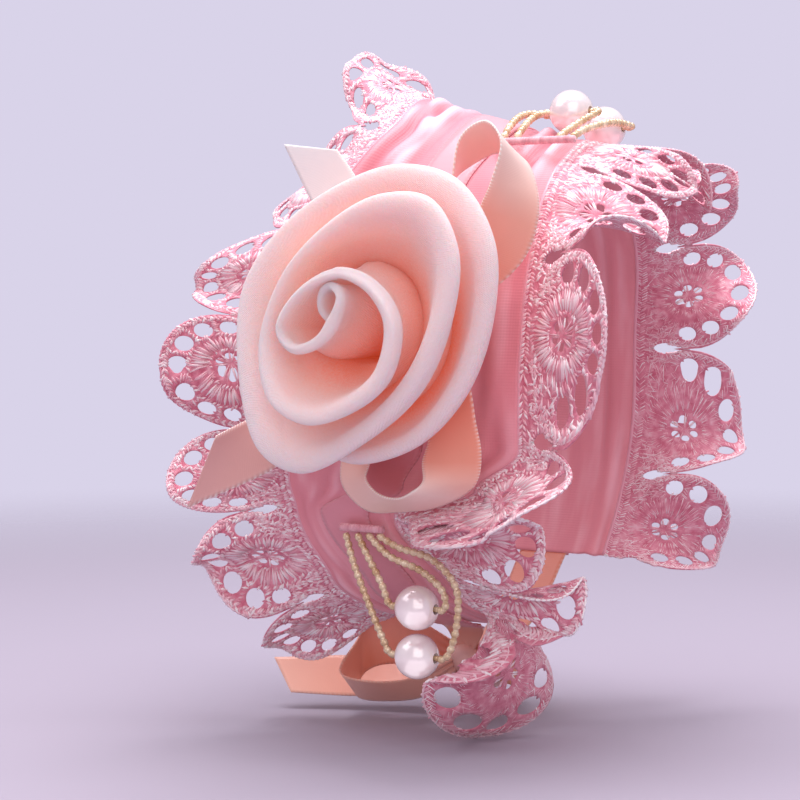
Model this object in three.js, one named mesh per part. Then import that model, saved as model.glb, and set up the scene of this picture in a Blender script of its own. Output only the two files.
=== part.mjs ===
// Floral wrist cuff: an organza strip with gathered lace on both edges, tied under the wrist with
// satin ribbon, and carrying a rolled chiffon rose, a satin bow and four beaded drops with pearls.
// Millimetres. +X runs along the arm, -Y is the front that the rose faces, +Z is up.
import * as THREE from 'three';

// Wrist opening and the oval line of the strip
const WRIST_DIAMETER = 52;
const FRONT_SLACK = 2.5;
const BACK_SLACK = 3;
const TOP_SLACK = 17;
const BOTTOM_SLACK = 20;
const LOWER_SQUARENESS = 2.7;
const STRIP_START = -80;
const STRIP_END = 226;

// Organza strip
const STRIP_WIDTH = 48;
const STRIP_THICKNESS = 0.8;

// Lace on the two edges
const LACE_WIDTH = 22;
const LACE_FAN_RADIUS = 12.6;
const LACE_THICKNESS = 0.8;

// Satin ribbon
const SATIN_WIDTH = 10;
const SATIN_THICKNESS = 0.5;

// Chiffon rose on its felt disc
const ROSE_DIAMETER = 50;
const ROSE_X = 3;
const ROSE_Z = 9;
const ROSE_WALL = 1;
const FELT_DIAMETER = 28;
const FELT_THICKNESS = 1.2;
const BOW_LAYER = 2.3;

// Beaded drops
const PEARL_DIAMETER = 7.8;
const PEARL_BORE = 1.5;
const BEAD_DIAMETER = 1.7;
const BEAD_PITCH = 1.7;
const THREAD_DIAMETER = 0.7;
const BAR_DIAMETER = 1.4;

// Clearance between neighbouring pieces
const GAP = 0.3;

const RAD = Math.PI / 180;
const vec = (x, y, z) => new THREE.Vector3(x, y, z);
const smooth = (t) => THREE.MathUtils.smootherstep(t, 0, 1);
const power = (value, exponent) => Math.sign(value) * Math.abs(value) ** exponent;

const WRIST_RADIUS = WRIST_DIAMETER / 2;
const FRONT = WRIST_RADIUS + FRONT_SLACK;
const BACK = WRIST_RADIUS + BACK_SLACK;
const TOP = WRIST_RADIUS + TOP_SLACK;
const BOTTOM = WRIST_RADIUS + BOTTOM_SLACK;

// Layers in front of the strip, as distances from the wrist axis
const RIBBON_LIFT = STRIP_THICKNESS / 2 + GAP + SATIN_THICKNESS / 2;
const FELT_FACE = FRONT + RIBBON_LIFT + SATIN_THICKNESS / 2 + GAP;
const BOW_FACE = FELT_FACE + FELT_THICKNESS + GAP;
const ROSE_SEAT = BOW_FACE + BOW_LAYER + GAP;
const STRIP_BAR_LIFT = STRIP_THICKNESS / 2 + GAP + BAR_DIAMETER / 2;
const RIBBON_BAR_LIFT = RIBBON_LIFT + SATIN_THICKNESS / 2 + GAP + BAR_DIAMETER / 2;

// Middle line of the strip, from its front end under the wrist, up the front and over to the back
class CuffLine extends THREE.Curve {
  getPoint(t) {
    const angle = THREE.MathUtils.lerp(STRIP_START, STRIP_END, t) * RAD;
    const depth = Math.cos(angle) > 0 ? FRONT : BACK;
    const height = Math.sin(angle) > 0 ? TOP : BOTTOM;
    const exponent = Math.sin(angle) > 0 ? 1 : 2 / LOWER_SQUARENESS;
    return vec(0, -depth * power(Math.cos(angle), exponent), height * power(Math.sin(angle), exponent));
  }
}

const cuffLine = new CuffLine();
cuffLine.arcLengthDivisions = 600;

// Place, direction and outward normal of the strip at a share of its length
function cuffFrame(share) {
  const t = cuffLine.getUtoTmapping(share);
  const tangent = cuffLine.getTangentAt(share);
  return {
    angle: THREE.MathUtils.lerp(STRIP_START, STRIP_END, t),
    centre: cuffLine.getPointAt(share),
    tangent,
    normal: vec(0, -tangent.z, tangent.y),
  };
}

// Share of the strip's length at an angle round the wrist
function shareAt(angle) {
  const steps = 600;
  const lengths = cuffLine.getLengths(steps);
  const t = (angle - STRIP_START) / (STRIP_END - STRIP_START);
  const place = t * steps;
  const low = Math.floor(place);
  const high = Math.min(low + 1, steps);
  return THREE.MathUtils.lerp(lengths[low], lengths[high], place - low) / lengths[steps];
}

// Closed sheet of even thickness laid over a surface of two parameters
function sheet(surface, columns, rows, thickness) {
  const step = 1e-3;
  const normalAt = (u, v) => {
    const along = surface(Math.min(u + step, 1), v).sub(surface(Math.max(u - step, 0), v));
    const across = surface(u, Math.min(v + step, 1)).sub(surface(u, Math.max(v - step, 0)));
    return along.cross(across).normalize();
  };
  const positions = [];
  for (const side of [0.5, -0.5]) {
    for (let i = 0; i <= columns; i += 1) {
      for (let j = 0; j <= rows; j += 1) {
        const u = i / columns;
        const v = j / rows;
        const point = surface(u, v).addScaledVector(normalAt(u, v), side * thickness);
        positions.push(point.x, point.y, point.z);
      }
    }
  }
  const layer = (columns + 1) * (rows + 1);
  const at = (i, j) => i * (rows + 1) + j;
  const faces = [];
  const quad = (a, b, c, d) => faces.push(a, b, c, a, c, d);
  for (let i = 0; i < columns; i += 1) {
    for (let j = 0; j < rows; j += 1) {
      quad(at(i, j), at(i + 1, j), at(i + 1, j + 1), at(i, j + 1));
      quad(layer + at(i, j), layer + at(i, j + 1), layer + at(i + 1, j + 1), layer + at(i + 1, j));
    }
    quad(at(i, 0), layer + at(i, 0), layer + at(i + 1, 0), at(i + 1, 0));
    quad(at(i, rows), at(i + 1, rows), layer + at(i + 1, rows), layer + at(i, rows));
  }
  for (let j = 0; j < rows; j += 1) {
    quad(at(0, j), at(0, j + 1), layer + at(0, j + 1), layer + at(0, j));
    quad(at(columns, j), layer + at(columns, j), layer + at(columns, j + 1), at(columns, j + 1));
  }
  const geometry = new THREE.BufferGeometry();
  geometry.setAttribute('position', new THREE.Float32BufferAttribute(positions, 3));
  geometry.setIndex(faces);
  geometry.computeVertexNormals();
  return geometry;
}

// Round cord of changing radius through a list of places, closed at both ends
function cord(rings, sides) {
  const positions = [];
  const faces = [];
  let normal = vec(0.31, 0.87, 0.39);
  rings.forEach((ring, index) => {
    const before = rings[Math.max(index - 1, 0)].place;
    const after = rings[Math.min(index + 1, rings.length - 1)].place;
    const tangent = after.clone().sub(before).normalize();
    normal = normal.clone().addScaledVector(tangent, -normal.dot(tangent)).normalize();
    const binormal = tangent.clone().cross(normal);
    for (let k = 0; k < sides; k += 1) {
      const turn = (2 * Math.PI * k) / sides;
      const point = ring.place.clone()
        .addScaledVector(normal, ring.radius * Math.cos(turn))
        .addScaledVector(binormal, ring.radius * Math.sin(turn));
      positions.push(point.x, point.y, point.z);
    }
  });
  const at = (index, k) => index * sides + (k % sides);
  for (let index = 0; index < rings.length - 1; index += 1) {
    for (let k = 0; k < sides; k += 1) {
      faces.push(at(index, k), at(index, k + 1), at(index + 1, k + 1));
      faces.push(at(index, k), at(index + 1, k + 1), at(index + 1, k));
    }
  }
  for (let k = 1; k < sides - 1; k += 1) {
    faces.push(at(0, 0), at(0, k + 1), at(0, k));
    faces.push(at(rings.length - 1, 0), at(rings.length - 1, k), at(rings.length - 1, k + 1));
  }
  const geometry = new THREE.BufferGeometry();
  geometry.setAttribute('position', new THREE.Float32BufferAttribute(positions, 3));
  geometry.setIndex(faces);
  geometry.computeVertexNormals();
  return geometry;
}

const cloth = (color, roughness) => new THREE.MeshStandardMaterial({ color, roughness, metalness: 0 });
const ORGANZA = cloth(0xf4bccb, 0.45);
const LACE = cloth(0xeda6b3, 0.5);
const SATIN = cloth(0xf7c3a9, 0.35);
const CHIFFON = cloth(0xf6c3ad, 0.75);
const FELT = cloth(0xf0cdbf, 0.95);
const SEED_BEAD = cloth(0xdcc096, 0.2);
const PEARL = cloth(0xf5e6ea, 0.15);
const THREAD = cloth(0xefc3b0, 0.7);

const cuff = new THREE.Group();
cuff.name = 'floral_wrist_cuff';

function add(name, geometry, material) {
  const mesh = new THREE.Mesh(geometry, material);
  mesh.name = name;
  cuff.add(mesh);
  return mesh;
}

// Values between stations of [angle, value, value ...], eased from one station to the next
function stationAt(stations, angle) {
  const next = stations.findIndex((station) => station[0] > angle);
  const index = next < 0 ? stations.length - 1 : Math.max(next, 1);
  const from = stations[index - 1];
  const to = stations[index];
  const blend = THREE.MathUtils.smoothstep(angle, from[0], to[0]);
  return from.slice(1).map((value, k) => THREE.MathUtils.lerp(value, to[k + 1], blend));
}

// Strip: at each angle round the wrist the reach of the left and the right edge as shares of the
// half width, and how far each edge is raised from the oval line. The right edge is drawn in below the bow
const STRIP_EDGES = [
  [-80, 0.54, 0.54, 0, 0], [-50, 0.8, 0.26, 0, 0], [-26, 0.95, -0.1, 0, 0], [-19, 0.99, 0.6, 0, 0],
  [-10, 1, 0.98, 0, 0], [12, 1, 1, 0, 0],
  [42, 0.78, 1, 0, 0], [70, 0.52, 0.96, 3, -2.5], [105, 0.62, 0.92, 7, -5], [142, 0.74, 0.8, 3, -2],
  [180, 0.66, 0.66, 0, 0], [226, 0.54, 0.54, 0, 0],
];

function stripEdges(angle) {
  const [left, right, leftLift, rightLift] = stationAt(STRIP_EDGES, angle);
  return { left: (-left * STRIP_WIDTH) / 2, right: (right * STRIP_WIDTH) / 2, leftLift, rightLift };
}

// Place on the strip: share 0 to 1 along it, 0 to 1 from its left to its right edge, and its lift
function stripPoint(share, across, lift) {
  const { angle, centre, normal } = cuffFrame(share);
  const edges = stripEdges(angle);
  const raised = THREE.MathUtils.lerp(edges.leftLift, edges.rightLift, across);
  return centre.setX(THREE.MathUtils.lerp(edges.left, edges.right, across))
    .addScaledVector(normal, raised + lift);
}

add('wrist_strip', sheet((u, v) => stripPoint(u, 1 - v, 0), 104, 2, STRIP_THICKNESS), ORGANZA);

// Satin ribbon sewn along the middle of the strip
const ribbonPoint = (u, v) => {
  const { left, right } = stripEdges(cuffFrame(u).angle);
  return stripPoint(u, 0.5 + ((0.5 - v) * SATIN_WIDTH) / (right - left), RIBBON_LIFT);
};
add('centre_ribbon', sheet(ribbonPoint, 44, 1, SATIN_THICKNESS), SATIN);

// Lace: at each angle round the wrist the ruffle stands up from the arm by a tilt
// and leans along the edge, both in degrees
const LEFT_RUFFLE = [
  [-80, 40, 0], [-68, 24, -8], [-55, 46, 2], [-42, 20, 4], [-31, 46, 0], [-20, 34, -2],
  [-10, 10, 4], [0, 34, 0], [10, 36, 4], [19, 2, 0], [28, 8, -8], [41, -22, 6], [58, -28, 10],
  [72, 0, 28], [86, 26, 18], [104, 34, 6], [118, 58, 0], [134, 14, -10], [150, 50, 6], [165, 12, 0],
  [180, 48, 8], [196, 16, -8], [211, 48, 0], [226, 25, 0],
];
const RIGHT_RUFFLE = [
  [-80, 94, -32], [-74, 108, -8], [-66, 112, 26], [-61, 4, -18], [-54, -24, -8], [-45, -4, -16],
  [-37, -26, 2], [-30, 2, 16], [-25.5, 60, -6], [-21, 58, -6], [-15, 52, -8], [-9, 34, -8],
  [-3, 22, 0], [12, 24, 0], [27, 30, 8], [41, -20, -8], [58, -34, 0], [76, -28, 6], [92, -4, 0],
  [108, -24, 8], [124, 16, 0], [138, 4, -8], [154, 46, 4], [170, 8, 0], [186, 46, 8], [202, 10, -8],
  [214, 48, 0], [226, 25, 0],
];

// Angles at which one fan of the lace meets the next
const LEFT_JOINS = [-80, -56, -25, -9, 11, 36, 68, 122, 150, 176, 201, 226];
const RIGHT_JOINS = [-80, -63, -45, -26, -8, 25, 58, 90, 120, 150, 176, 201, 226];

// Place on a lace: u along it, and v from its seam out to the round edge of the fan there
function lacePoint({ stations, joins, side }, u, v) {
  const fans = joins.length - 1;
  const fan = Math.min(Math.floor(u * fans), fans - 1);
  const across = u * fans - fan;
  const angle = THREE.MathUtils.lerp(joins[fan], joins[fan + 1], across);
  const share = shareAt(angle);
  const { tangent, normal } = cuffFrame(share);
  const step = 1e-3;
  const edgeAt = (place) => stripPoint(THREE.MathUtils.clamp(place, 0, 1), side > 0 ? 1 : 0, 0);
  const beside = edgeAt(share + step).sub(edgeAt(share - step)).cross(normal).setLength(side);
  const [tilt, lean] = stationAt(stations, angle).map((degrees) => degrees * RAD);
  const width = LACE_WIDTH - LACE_FAN_RADIUS * (1 - Math.sqrt(1 - (2 * across - 1) ** 2));
  const reach = width * v;
  const turn = tilt * (0.5 + (0.5 * reach) / LACE_WIDTH);
  const seam = GAP + (LACE_THICKNESS / 2) * Math.abs(Math.sin(tilt / 2));
  return edgeAt(share).addScaledVector(beside, seam)
    .add(vec(side * reach * Math.cos(turn) * Math.cos(lean), 0, 0))
    .addScaledVector(normal, reach * Math.sin(turn) * Math.cos(lean))
    .addScaledVector(tangent, reach * Math.sin(lean));
}

const FAN_COLUMNS = 8;
const leftLace = { stations: LEFT_RUFFLE, joins: LEFT_JOINS, side: -1 };
const rightLace = { stations: RIGHT_RUFFLE, joins: RIGHT_JOINS, side: 1 };
add('lace_left', sheet((u, v) => lacePoint(leftLace, u, v),
  (LEFT_JOINS.length - 1) * FAN_COLUMNS, 3, LACE_THICKNESS), LACE);
add('lace_right', sheet((u, v) => lacePoint(rightLace, u, 1 - v),
  (RIGHT_JOINS.length - 1) * FAN_COLUMNS, 3, LACE_THICKNESS), LACE);

// Felt disc that the rose and the bow are sewn to
const felt = new THREE.CylinderGeometry(FELT_DIAMETER / 2, FELT_DIAMETER / 2, FELT_THICKNESS, 28);
felt.translate(ROSE_X, -FELT_FACE - FELT_THICKNESS / 2, ROSE_Z);
add('felt_backing', felt, FELT);

// A place on the front, given from the rose centre, with its distance in front of the felt
const roseScale = ROSE_DIAMETER / 50;
const onFront = (x, out, z) => vec(ROSE_X + x * roseScale, -BOW_FACE - out, ROSE_Z + z * roseScale);

// Ribbon through rows of [centre, half width direction, share of the full width]
function ribbon(rows) {
  const left = [];
  const right = [];
  rows.forEach(([centre, direction, share]) => {
    const half = vec(...direction).normalize().multiplyScalar((share * SATIN_WIDTH) / 2);
    left.push(centre.clone().sub(half));
    right.push(centre.clone().add(half));
  });
  const leftEdge = new THREE.CatmullRomCurve3(left);
  const rightEdge = new THREE.CatmullRomCurve3(right);
  const surface = (u, v) => leftEdge.getPoint(u).lerp(rightEdge.getPoint(u), v);
  return sheet(surface, (rows.length - 1) * 3, 1, SATIN_THICKNESS);
}

// Bow behind the rose: knot, two loops and two tails, gathered where they leave the knot
const bowMiddle = BOW_LAYER / 2;
const knot = new THREE.SphereGeometry(1, 14, 8);
knot.scale(4, bowMiddle, 3.4);
knot.translate(ROSE_X, -BOW_FACE - bowMiddle, ROSE_Z);
add('bow_knot', knot, SATIN);

add('bow_loop_upper', ribbon([
  [onFront(3.2, 1.1, 4.2), [-0.8, 0, 0.6], 0.35],
  [onFront(6.8, 1, 13), [-0.8, 0.2, 0.3], 0.6],
  [onFront(9.6, 0, 23), [-0.52, 0.85, 0.04], 0.9],
  [onFront(13.1, 0.8, 28), [-0.25, 0.85, -0.46], 0.9],
  [onFront(18.1, 1.2, 29.9), [-0.2, 0.82, -0.5], 0.92],
  [onFront(21.9, 1.2, 27.6), [-0.05, 0.94, -0.31], 0.92],
  [onFront(22.4, 1.5, 21.9), [0.42, 0.89, -0.16], 0.92],
  [onFront(21.4, 1.4, 17.5), [0.66, 0.71, -0.24], 1],
  [onFront(18.4, 0.9, 11.5), [0.8, 0.5, -0.3], 1],
  [onFront(12, 0.9, 5), [0.5, 0.2, -0.8], 0.6],
  [onFront(5.2, 1.1, 1.2), [0, 0, -1], 0.3],
]), SATIN);
add('bow_loop_lower', ribbon([
  [onFront(4.4, 1.1, -3), [0.5, 0, 0.85], 0.3],
  [onFront(9.6, 1.2, -11), [0.8, 0.2, 0.5], 0.7],
  [onFront(10.9, 2, -18.6), [0.86, 0.38, 0.34], 0.85],
  [onFront(11.1, 2.5, -23.1), [0.91, 0.4, 0.12], 1],
  [onFront(10.8, 2.8, -27), [0.86, 0.51, -0.02], 0.9],
  [onFront(6, 2.4, -30.1), [0.28, 0.9, -0.34], 0.75],
  [onFront(0.3, 2.1, -31.4), [-0.45, 0.81, -0.37], 0.8],
  [onFront(-5.2, 2, -31.1), [-0.67, 0.62, -0.4], 0.9],
  [onFront(-8.8, 2, -27.9), [-0.84, 0.5, -0.21], 0.95],
  [onFront(-8.6, 1.9, -24.5), [-0.92, 0.38, 0.02], 0.85],
  [onFront(-5.4, 1.2, -13), [-0.9, 0.2, 0.1], 0.6],
  [onFront(-1, 1.1, -4.6), [-1, 0, 0.1], 0.3],
]), SATIN);
add('bow_tail_upper', ribbon([
  [onFront(-3, 1.1, 4.6), [0.8, 0, 0.6], 0.35],
  [onFront(-8.5, 0.6, 13), [0.85, 0, 0.5], 0.8],
  [onFront(-14, 0.4, 22), [0.9, 0, 0.35], 1],
  [onFront(-17.8, 2, 29.4), [1, 0.1, -0.12], 1.05],
]), SATIN);
add('bow_tail_lower', ribbon([
  [onFront(-5, 1.1, -1), [-0.2, 0, 1], 0.35],
  [onFront(-13, 0.6, -8), [-0.5, 0, 0.85], 0.8],
  [onFront(-24, 3.6, -20), [-0.5, 0, 0.87], 1],
  [onFront(-36, 9.5, -27), [0.45, 0, 0.9], 1.45],
]), SATIN);

// Rose: one folded strip rolled outwards in a spiral. Rim places from the rose centre: right, up, out
const ROSE_RIM = {
  rose_bud: [
    [-2.2, 2.2, 19], [-0.6, 5.9, 20], [2.1, 4.4, 20.5], [-1.6, -2.2, 20.5], [-7.2, -3.9, 20.5],
    [-10, -0.6, 20.5], [-6.6, 5.4, 20.5], [0.4, 9, 20.5],
  ],
  rose_inner_wrap: [
    [0.4, 9, 20.5], [8.6, 6.6, 20.4], [13.2, 0.6, 20.2], [11.4, -7.8, 20], [4.6, -12.8, 19.8],
    [-4.6, -15.2, 19.5], [-12.4, -11.8, 19.2], [-14.4, -3, 19], [-10.4, 8.4, 18.7], [-1.6, 16.6, 18.4],
  ],
  rose_middle_wrap: [
    [-1.6, 16.6, 18.4], [8, 20.6, 18.2], [17, 19.8, 17.6], [21.2, 11.4, 17], [19.2, 1.2, 16.5],
    [13, -9.6, 16], [2.4, -18.6, 15.5], [-9, -23.6, 15], [-17.8, -20.4, 14.6], [-22, -8.6, 14.2],
    [-21.8, 5.6, 13.6], [-14.6, 16, 13], [-2.6, 23.6, 12.5],
  ],
  rose_outer_wrap: [
    [-2.6, 23.6, 12.5], [9, 26.4, 12], [19.2, 23, 11.5], [25, 13, 11], [24.2, 1.2, 10.2], [19, -10.4, 9.5],
    [9.8, -19.6, 8.8], [-1.6, -23.4, 8.4],
  ],
};
const ROSE_ROOT = { rose_bud: [0, 7.6], rose_inner_wrap: [7.6, 11],
  rose_middle_wrap: [11, 14], rose_outer_wrap: [14, 16.5] };
const BUD_TAPER = 0.85;
const ROSE_COLUMNS = { rose_bud: 24, rose_inner_wrap: 24, rose_middle_wrap: 30, rose_outer_wrap: 20 };

function rosePoint(rim, root, u, v) {
  const place = rim.getPointAt(u);
  const rootRadius = THREE.MathUtils.lerp(root[0], root[1], u);
  const rootShare = root[0] > 0 ? rootRadius / Math.hypot(place.x, place.y) : BUD_TAPER;
  const spread = THREE.MathUtils.lerp(rootShare, 1, v * v);
  const out = place.z * (1 - (1 - v) ** 1.5);
  return vec(ROSE_X + place.x * spread * roseScale, -ROSE_SEAT - out, ROSE_Z + place.y * spread * roseScale);
}

for (const [name, points] of Object.entries(ROSE_RIM)) {
  const rim = new THREE.CatmullRomCurve3(points.map((point) => vec(...point)));
  const start = (ROSE_WALL / 2 + GAP) / rim.getLength();
  const along = (u) => THREE.MathUtils.lerp(start, 1 - start, u);
  const surface = (u, v) => rosePoint(rim, ROSE_ROOT[name], along(u), v);
  add(name, sheet(surface, ROSE_COLUMNS[name], 4, ROSE_WALL), CHIFFON);
}

// Satin ties: both ends of the middle ribbon run on to a bow under the wrist
const frontEnd = cuffFrame(0);
const backEnd = cuffFrame(1);
const TIE_X = -5;
const TIE_Y = 2;
const TIE_Z = -BOTTOM - 8;
const tieAt = (x, y, z) => vec(TIE_X + x, TIE_Y + y, TIE_Z + z);
const tieStart = (end, side) => end.centre.clone()
  .addScaledVector(end.normal, RIBBON_LIFT)
  .addScaledVector(end.tangent, side * (SATIN_THICKNESS + GAP));

const tieKnot = new THREE.SphereGeometry(1, 14, 8);
tieKnot.scale(3.6, 2.8, 3);
tieKnot.translate(TIE_X, TIE_Y, TIE_Z);
add('tie_knot', tieKnot, SATIN);

add('tie_front', ribbon([
  [tieStart(frontEnd, -1), [1, 0, 0], 1],
  [tieAt(2, -3.4, 5.4), [1, -0.1, 0], 0.8],
  [tieAt(0.2, -0.6, 3.6), [1, 0, 0], 0.4],
]), SATIN);
add('tie_back', ribbon([
  [tieStart(backEnd, 1), [-1, 0, 0], 1],
  [tieAt(3.5, 10, 5.4), [-1, 0.1, 0], 0.9],
  [tieAt(1.2, 3.4, 1.4), [-1, 0.3, 0], 0.4],
]), SATIN);
add('tie_loop_left', ribbon([
  [tieAt(-3.6, -0.6, 1.2), [0, 0, -1], 0.35],
  [tieAt(-9, -4.5, 3), [0, 0.15, -1], 0.9],
  [tieAt(-16, -6.5, 2.5), [0, 0.2, -1], 1],
  [tieAt(-19, -7, -1), [-0.2, 0.4, -0.9], 0.9],
  [tieAt(-18, -12, -5), [-0.1, 0.75, -0.6], 0.9],
  [tieAt(-11, -12.2, -5.6), [0, 0.8, -0.5], 0.9],
  [tieAt(-5.6, -8, -5), [0.1, 0.8, -0.5], 0.7],
  [tieAt(-2.4, -3, -2), [0.3, 0.6, -0.7], 0.3],
]), SATIN);
add('tie_loop_right', ribbon([
  [tieAt(4, -0.6, 0.6), [0, 0, 1], 0.35],
  [tieAt(7.2, -2.4, 1.4), [0.1, 0, 1], 0.8],
  [tieAt(10.8, -1.8, 1), [0, 0.2, 1], 0.95],
  [tieAt(12.4, 1.4, 0), [0, 0.3, 1], 0.95],
  [tieAt(9, 4, -0.6), [0, 0.2, 1], 0.85],
  [tieAt(3.8, 1.8, 0), [0, 0, 1], 0.35],
]), SATIN);
add('tie_tail_left', ribbon([
  [tieAt(-1.8, 0.6, -3.8), [0.3, 0.8, -0.3], 0.35],
  [tieAt(-9, 1.5, -5), [0.3, -0.8, -0.5], 0.8],
  [tieAt(-21, -2.4, -5.2), [0.3, -0.6, -0.7], 0.9],
  [tieAt(-34.6, -10, -5.2), [0.6, -0.2, -0.7], 0.8],
]), SATIN);
add('tie_tail_right', ribbon([
  [tieAt(1.4, 1.8, -3.8), [-0.9, 0.2, -0.2], 0.35],
  [tieAt(2.6, 8, -5.2), [-0.9, 0.2, -0.3], 0.8],
  [tieAt(1.8, 15, -5.6), [-0.8, 0, -0.5], 0.9],
  [tieAt(-1.4, 22.4, -5), [-0.8, 0.35, -0.5], 1],
]), SATIN);

// Beaded drop: a beaded thread that leaves a sewn bar, passes through a pearl and comes back
const turnedPlace = (bar, x, reach, angle) => vec(
  x, bar.y + reach * Math.cos(angle * RAD), bar.z + reach * Math.sin(angle * RAD),
);

function strandRings(leg) {
  const length = leg.getLength();
  const beads = Math.round(length / BEAD_PITCH);
  const rings = [];
  for (let k = 0; k <= beads * 2; k += 1) {
    const radius = (k % 2 ? BEAD_DIAMETER : THREAD_DIAMETER) / 2;
    rings.push({ place: leg.getPointAt(k / (beads * 2)), radius });
  }
  return rings;
}

function drop(suffix, bar, { left, right, pearl, legs }) {
  const centre = turnedPlace(bar, ...pearl);
  const clear = PEARL_DIAMETER / 2 + GAP;
  const radial = (PEARL_DIAMETER / 2) + 1;
  const start = BAR_DIAMETER / 2 + GAP;
  const leg = (x, side, bends) => new THREE.CatmullRomCurve3([
    turnedPlace(bar, x, start, bends[0][2]),
    ...bends.map((bend) => turnedPlace(bar, ...bend)),
    centre.clone().add(vec(side * (radial + 0.6), 0, 0)),
    centre.clone().add(vec(side * clear, 0, 0)),
  ]);
  const inward = strandRings(leg(left, -1, legs[0]));
  const outward = strandRings(leg(right, 1, legs[1])).reverse();
  add(`bead_strand_${suffix}`, cord([...inward, ...outward], 6), SEED_BEAD);

  const profile = [];
  const ballRadius = PEARL_DIAMETER / 2;
  const bore = PEARL_BORE / 2;
  const edge = Math.asin(PEARL_BORE / PEARL_DIAMETER);
  for (let k = 0; k <= 8; k += 1) {
    const turn = THREE.MathUtils.lerp(Math.PI - edge, edge, k / 8);
    profile.push(new THREE.Vector2(ballRadius * Math.sin(turn), ballRadius * Math.cos(turn)));
  }
  profile[0].x = bore;
  profile[8].x = bore;
  profile.push(profile[0].clone());
  const ball = new THREE.LatheGeometry(profile, 14);
  ball.rotateZ(-Math.PI / 2);
  ball.translate(centre.x, centre.y, centre.z);
  add(`pearl_${suffix}`, ball, PEARL);
}

// Sewn bar across the strip at an angle round the wrist
function sewnBar(name, angle, from, to, lift) {
  const { centre, normal } = cuffFrame(shareAt(angle));
  const place = centre.addScaledVector(normal, lift);
  const bar = new THREE.CylinderGeometry(BAR_DIAMETER / 2, BAR_DIAMETER / 2, to - from, 12);
  bar.rotateZ(Math.PI / 2);
  bar.translate((from + to) / 2, place.y, place.z);
  add(name, bar, THREAD);
  return place;
}

// Lower drops hang from their bar beside the drawn-in edge, one inside the other:
// [x, reach from the bar, angle]
const HANG = -90;
const LOWER_BAR_ANGLE = -29;
const PEARL_STEP = PEARL_DIAMETER + 2 * GAP;
const lowerBar = sewnBar('drop_bar_lower', LOWER_BAR_ANGLE, -12.4, -3.6, RIBBON_BAR_LIFT);
const lowerReach = 13;
drop('lower_short', lowerBar, {
  left: -9, right: -6.8, pearl: [3.4, lowerReach, HANG],
  legs: [
    [[-7, 4.4, HANG], [-3.8, 9.6, HANG]],
    [[-2.4, 4.4, HANG], [4.6, 6.8, HANG], [8.8, 10.2, HANG]],
  ],
});
drop('lower_long', lowerBar, {
  left: -11.4, right: -4.6, pearl: [3.4, lowerReach + PEARL_STEP, HANG],
  legs: [
    [[-9.8, 6, HANG], [-6.8, 12.6, HANG], [-3.6, 19, HANG]],
    [[-0.6, 2.8, HANG], [6.6, 4.6, HANG], [11.2, 9, HANG], [11.4, 15, HANG], [10, 20, HANG]],
  ],
});

// Upper drops lie back over the top of the strip, one inside the other
const UPPER_BAR_ANGLE = 63;
const upperBar = sewnBar('drop_bar_upper', UPPER_BAR_ANGLE, 10.4, 26, STRIP_BAR_LIFT);
const upperReach = 14;
drop('upper_short', upperBar, {
  left: 14.2, right: 22.4, pearl: [18.4, upperReach, 24],
  legs: [
    [[14, 4, 36], [13.2, 9.5, 29]],
    [[22.6, 4, 26], [23.4, 9.5, 25]],
  ],
});
drop('upper_long', upperBar, {
  left: 11.6, right: 25, pearl: [20, upperReach + PEARL_STEP, 8.5],
  legs: [
    [[11.2, 5, 38], [10.6, 12, 27], [13, 18.5, 16]],
    [[25.4, 5, 22], [26, 12, 16], [25.6, 18, 12]],
  ],
});

export default cuff;
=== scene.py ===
# Floral wrist cuff: an organza strip with gathered lace on both edges, tied under the wrist with
# satin ribbon, and carrying a rolled chiffon rose, a satin bow and four beaded drops with pearls.
from contextlib import contextmanager
from functools import partialmethod

import bmesh
import bpy
import numpy as np
from mathutils import Euler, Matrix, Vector


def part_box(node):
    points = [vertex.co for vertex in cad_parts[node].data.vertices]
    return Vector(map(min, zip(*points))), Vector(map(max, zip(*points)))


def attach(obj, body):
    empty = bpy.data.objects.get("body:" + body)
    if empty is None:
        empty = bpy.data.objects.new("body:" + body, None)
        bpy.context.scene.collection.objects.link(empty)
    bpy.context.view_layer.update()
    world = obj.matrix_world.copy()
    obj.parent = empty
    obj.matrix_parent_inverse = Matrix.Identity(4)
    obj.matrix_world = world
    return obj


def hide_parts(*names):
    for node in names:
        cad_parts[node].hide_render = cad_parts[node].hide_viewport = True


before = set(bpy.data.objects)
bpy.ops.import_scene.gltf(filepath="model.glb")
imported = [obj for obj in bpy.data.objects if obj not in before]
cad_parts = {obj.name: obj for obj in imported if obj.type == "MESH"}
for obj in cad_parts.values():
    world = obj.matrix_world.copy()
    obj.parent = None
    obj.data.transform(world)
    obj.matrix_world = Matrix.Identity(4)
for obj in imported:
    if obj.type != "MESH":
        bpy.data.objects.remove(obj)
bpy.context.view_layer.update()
MM = 0.001

# Camera: a long lens a little above the cuff, seen from its front right.
# Its place is given along its own right, up and back directions.
SENSOR_WIDTH = 36
LENS = 99.74
NEAREST = 20
CAMERA_TURN = (87, 0, 33)
CAMERA_PLACE = (-15.27, -6.18, 403)


def add_object(name, data):
    """New object in the scene."""
    made = bpy.data.objects.new(name, data)
    bpy.context.scene.collection.objects.link(made)
    return made


camera = add_object("camera", bpy.data.cameras.new("camera"))
camera.data.sensor_width = SENSOR_WIDTH
camera.data.lens = LENS
camera.data.clip_start = NEAREST * MM
camera.rotation_euler = Euler(np.radians(CAMERA_TURN))
camera.location = camera.rotation_euler.to_matrix() @ Vector(CAMERA_PLACE) * MM
bpy.context.scene.camera = camera

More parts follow.
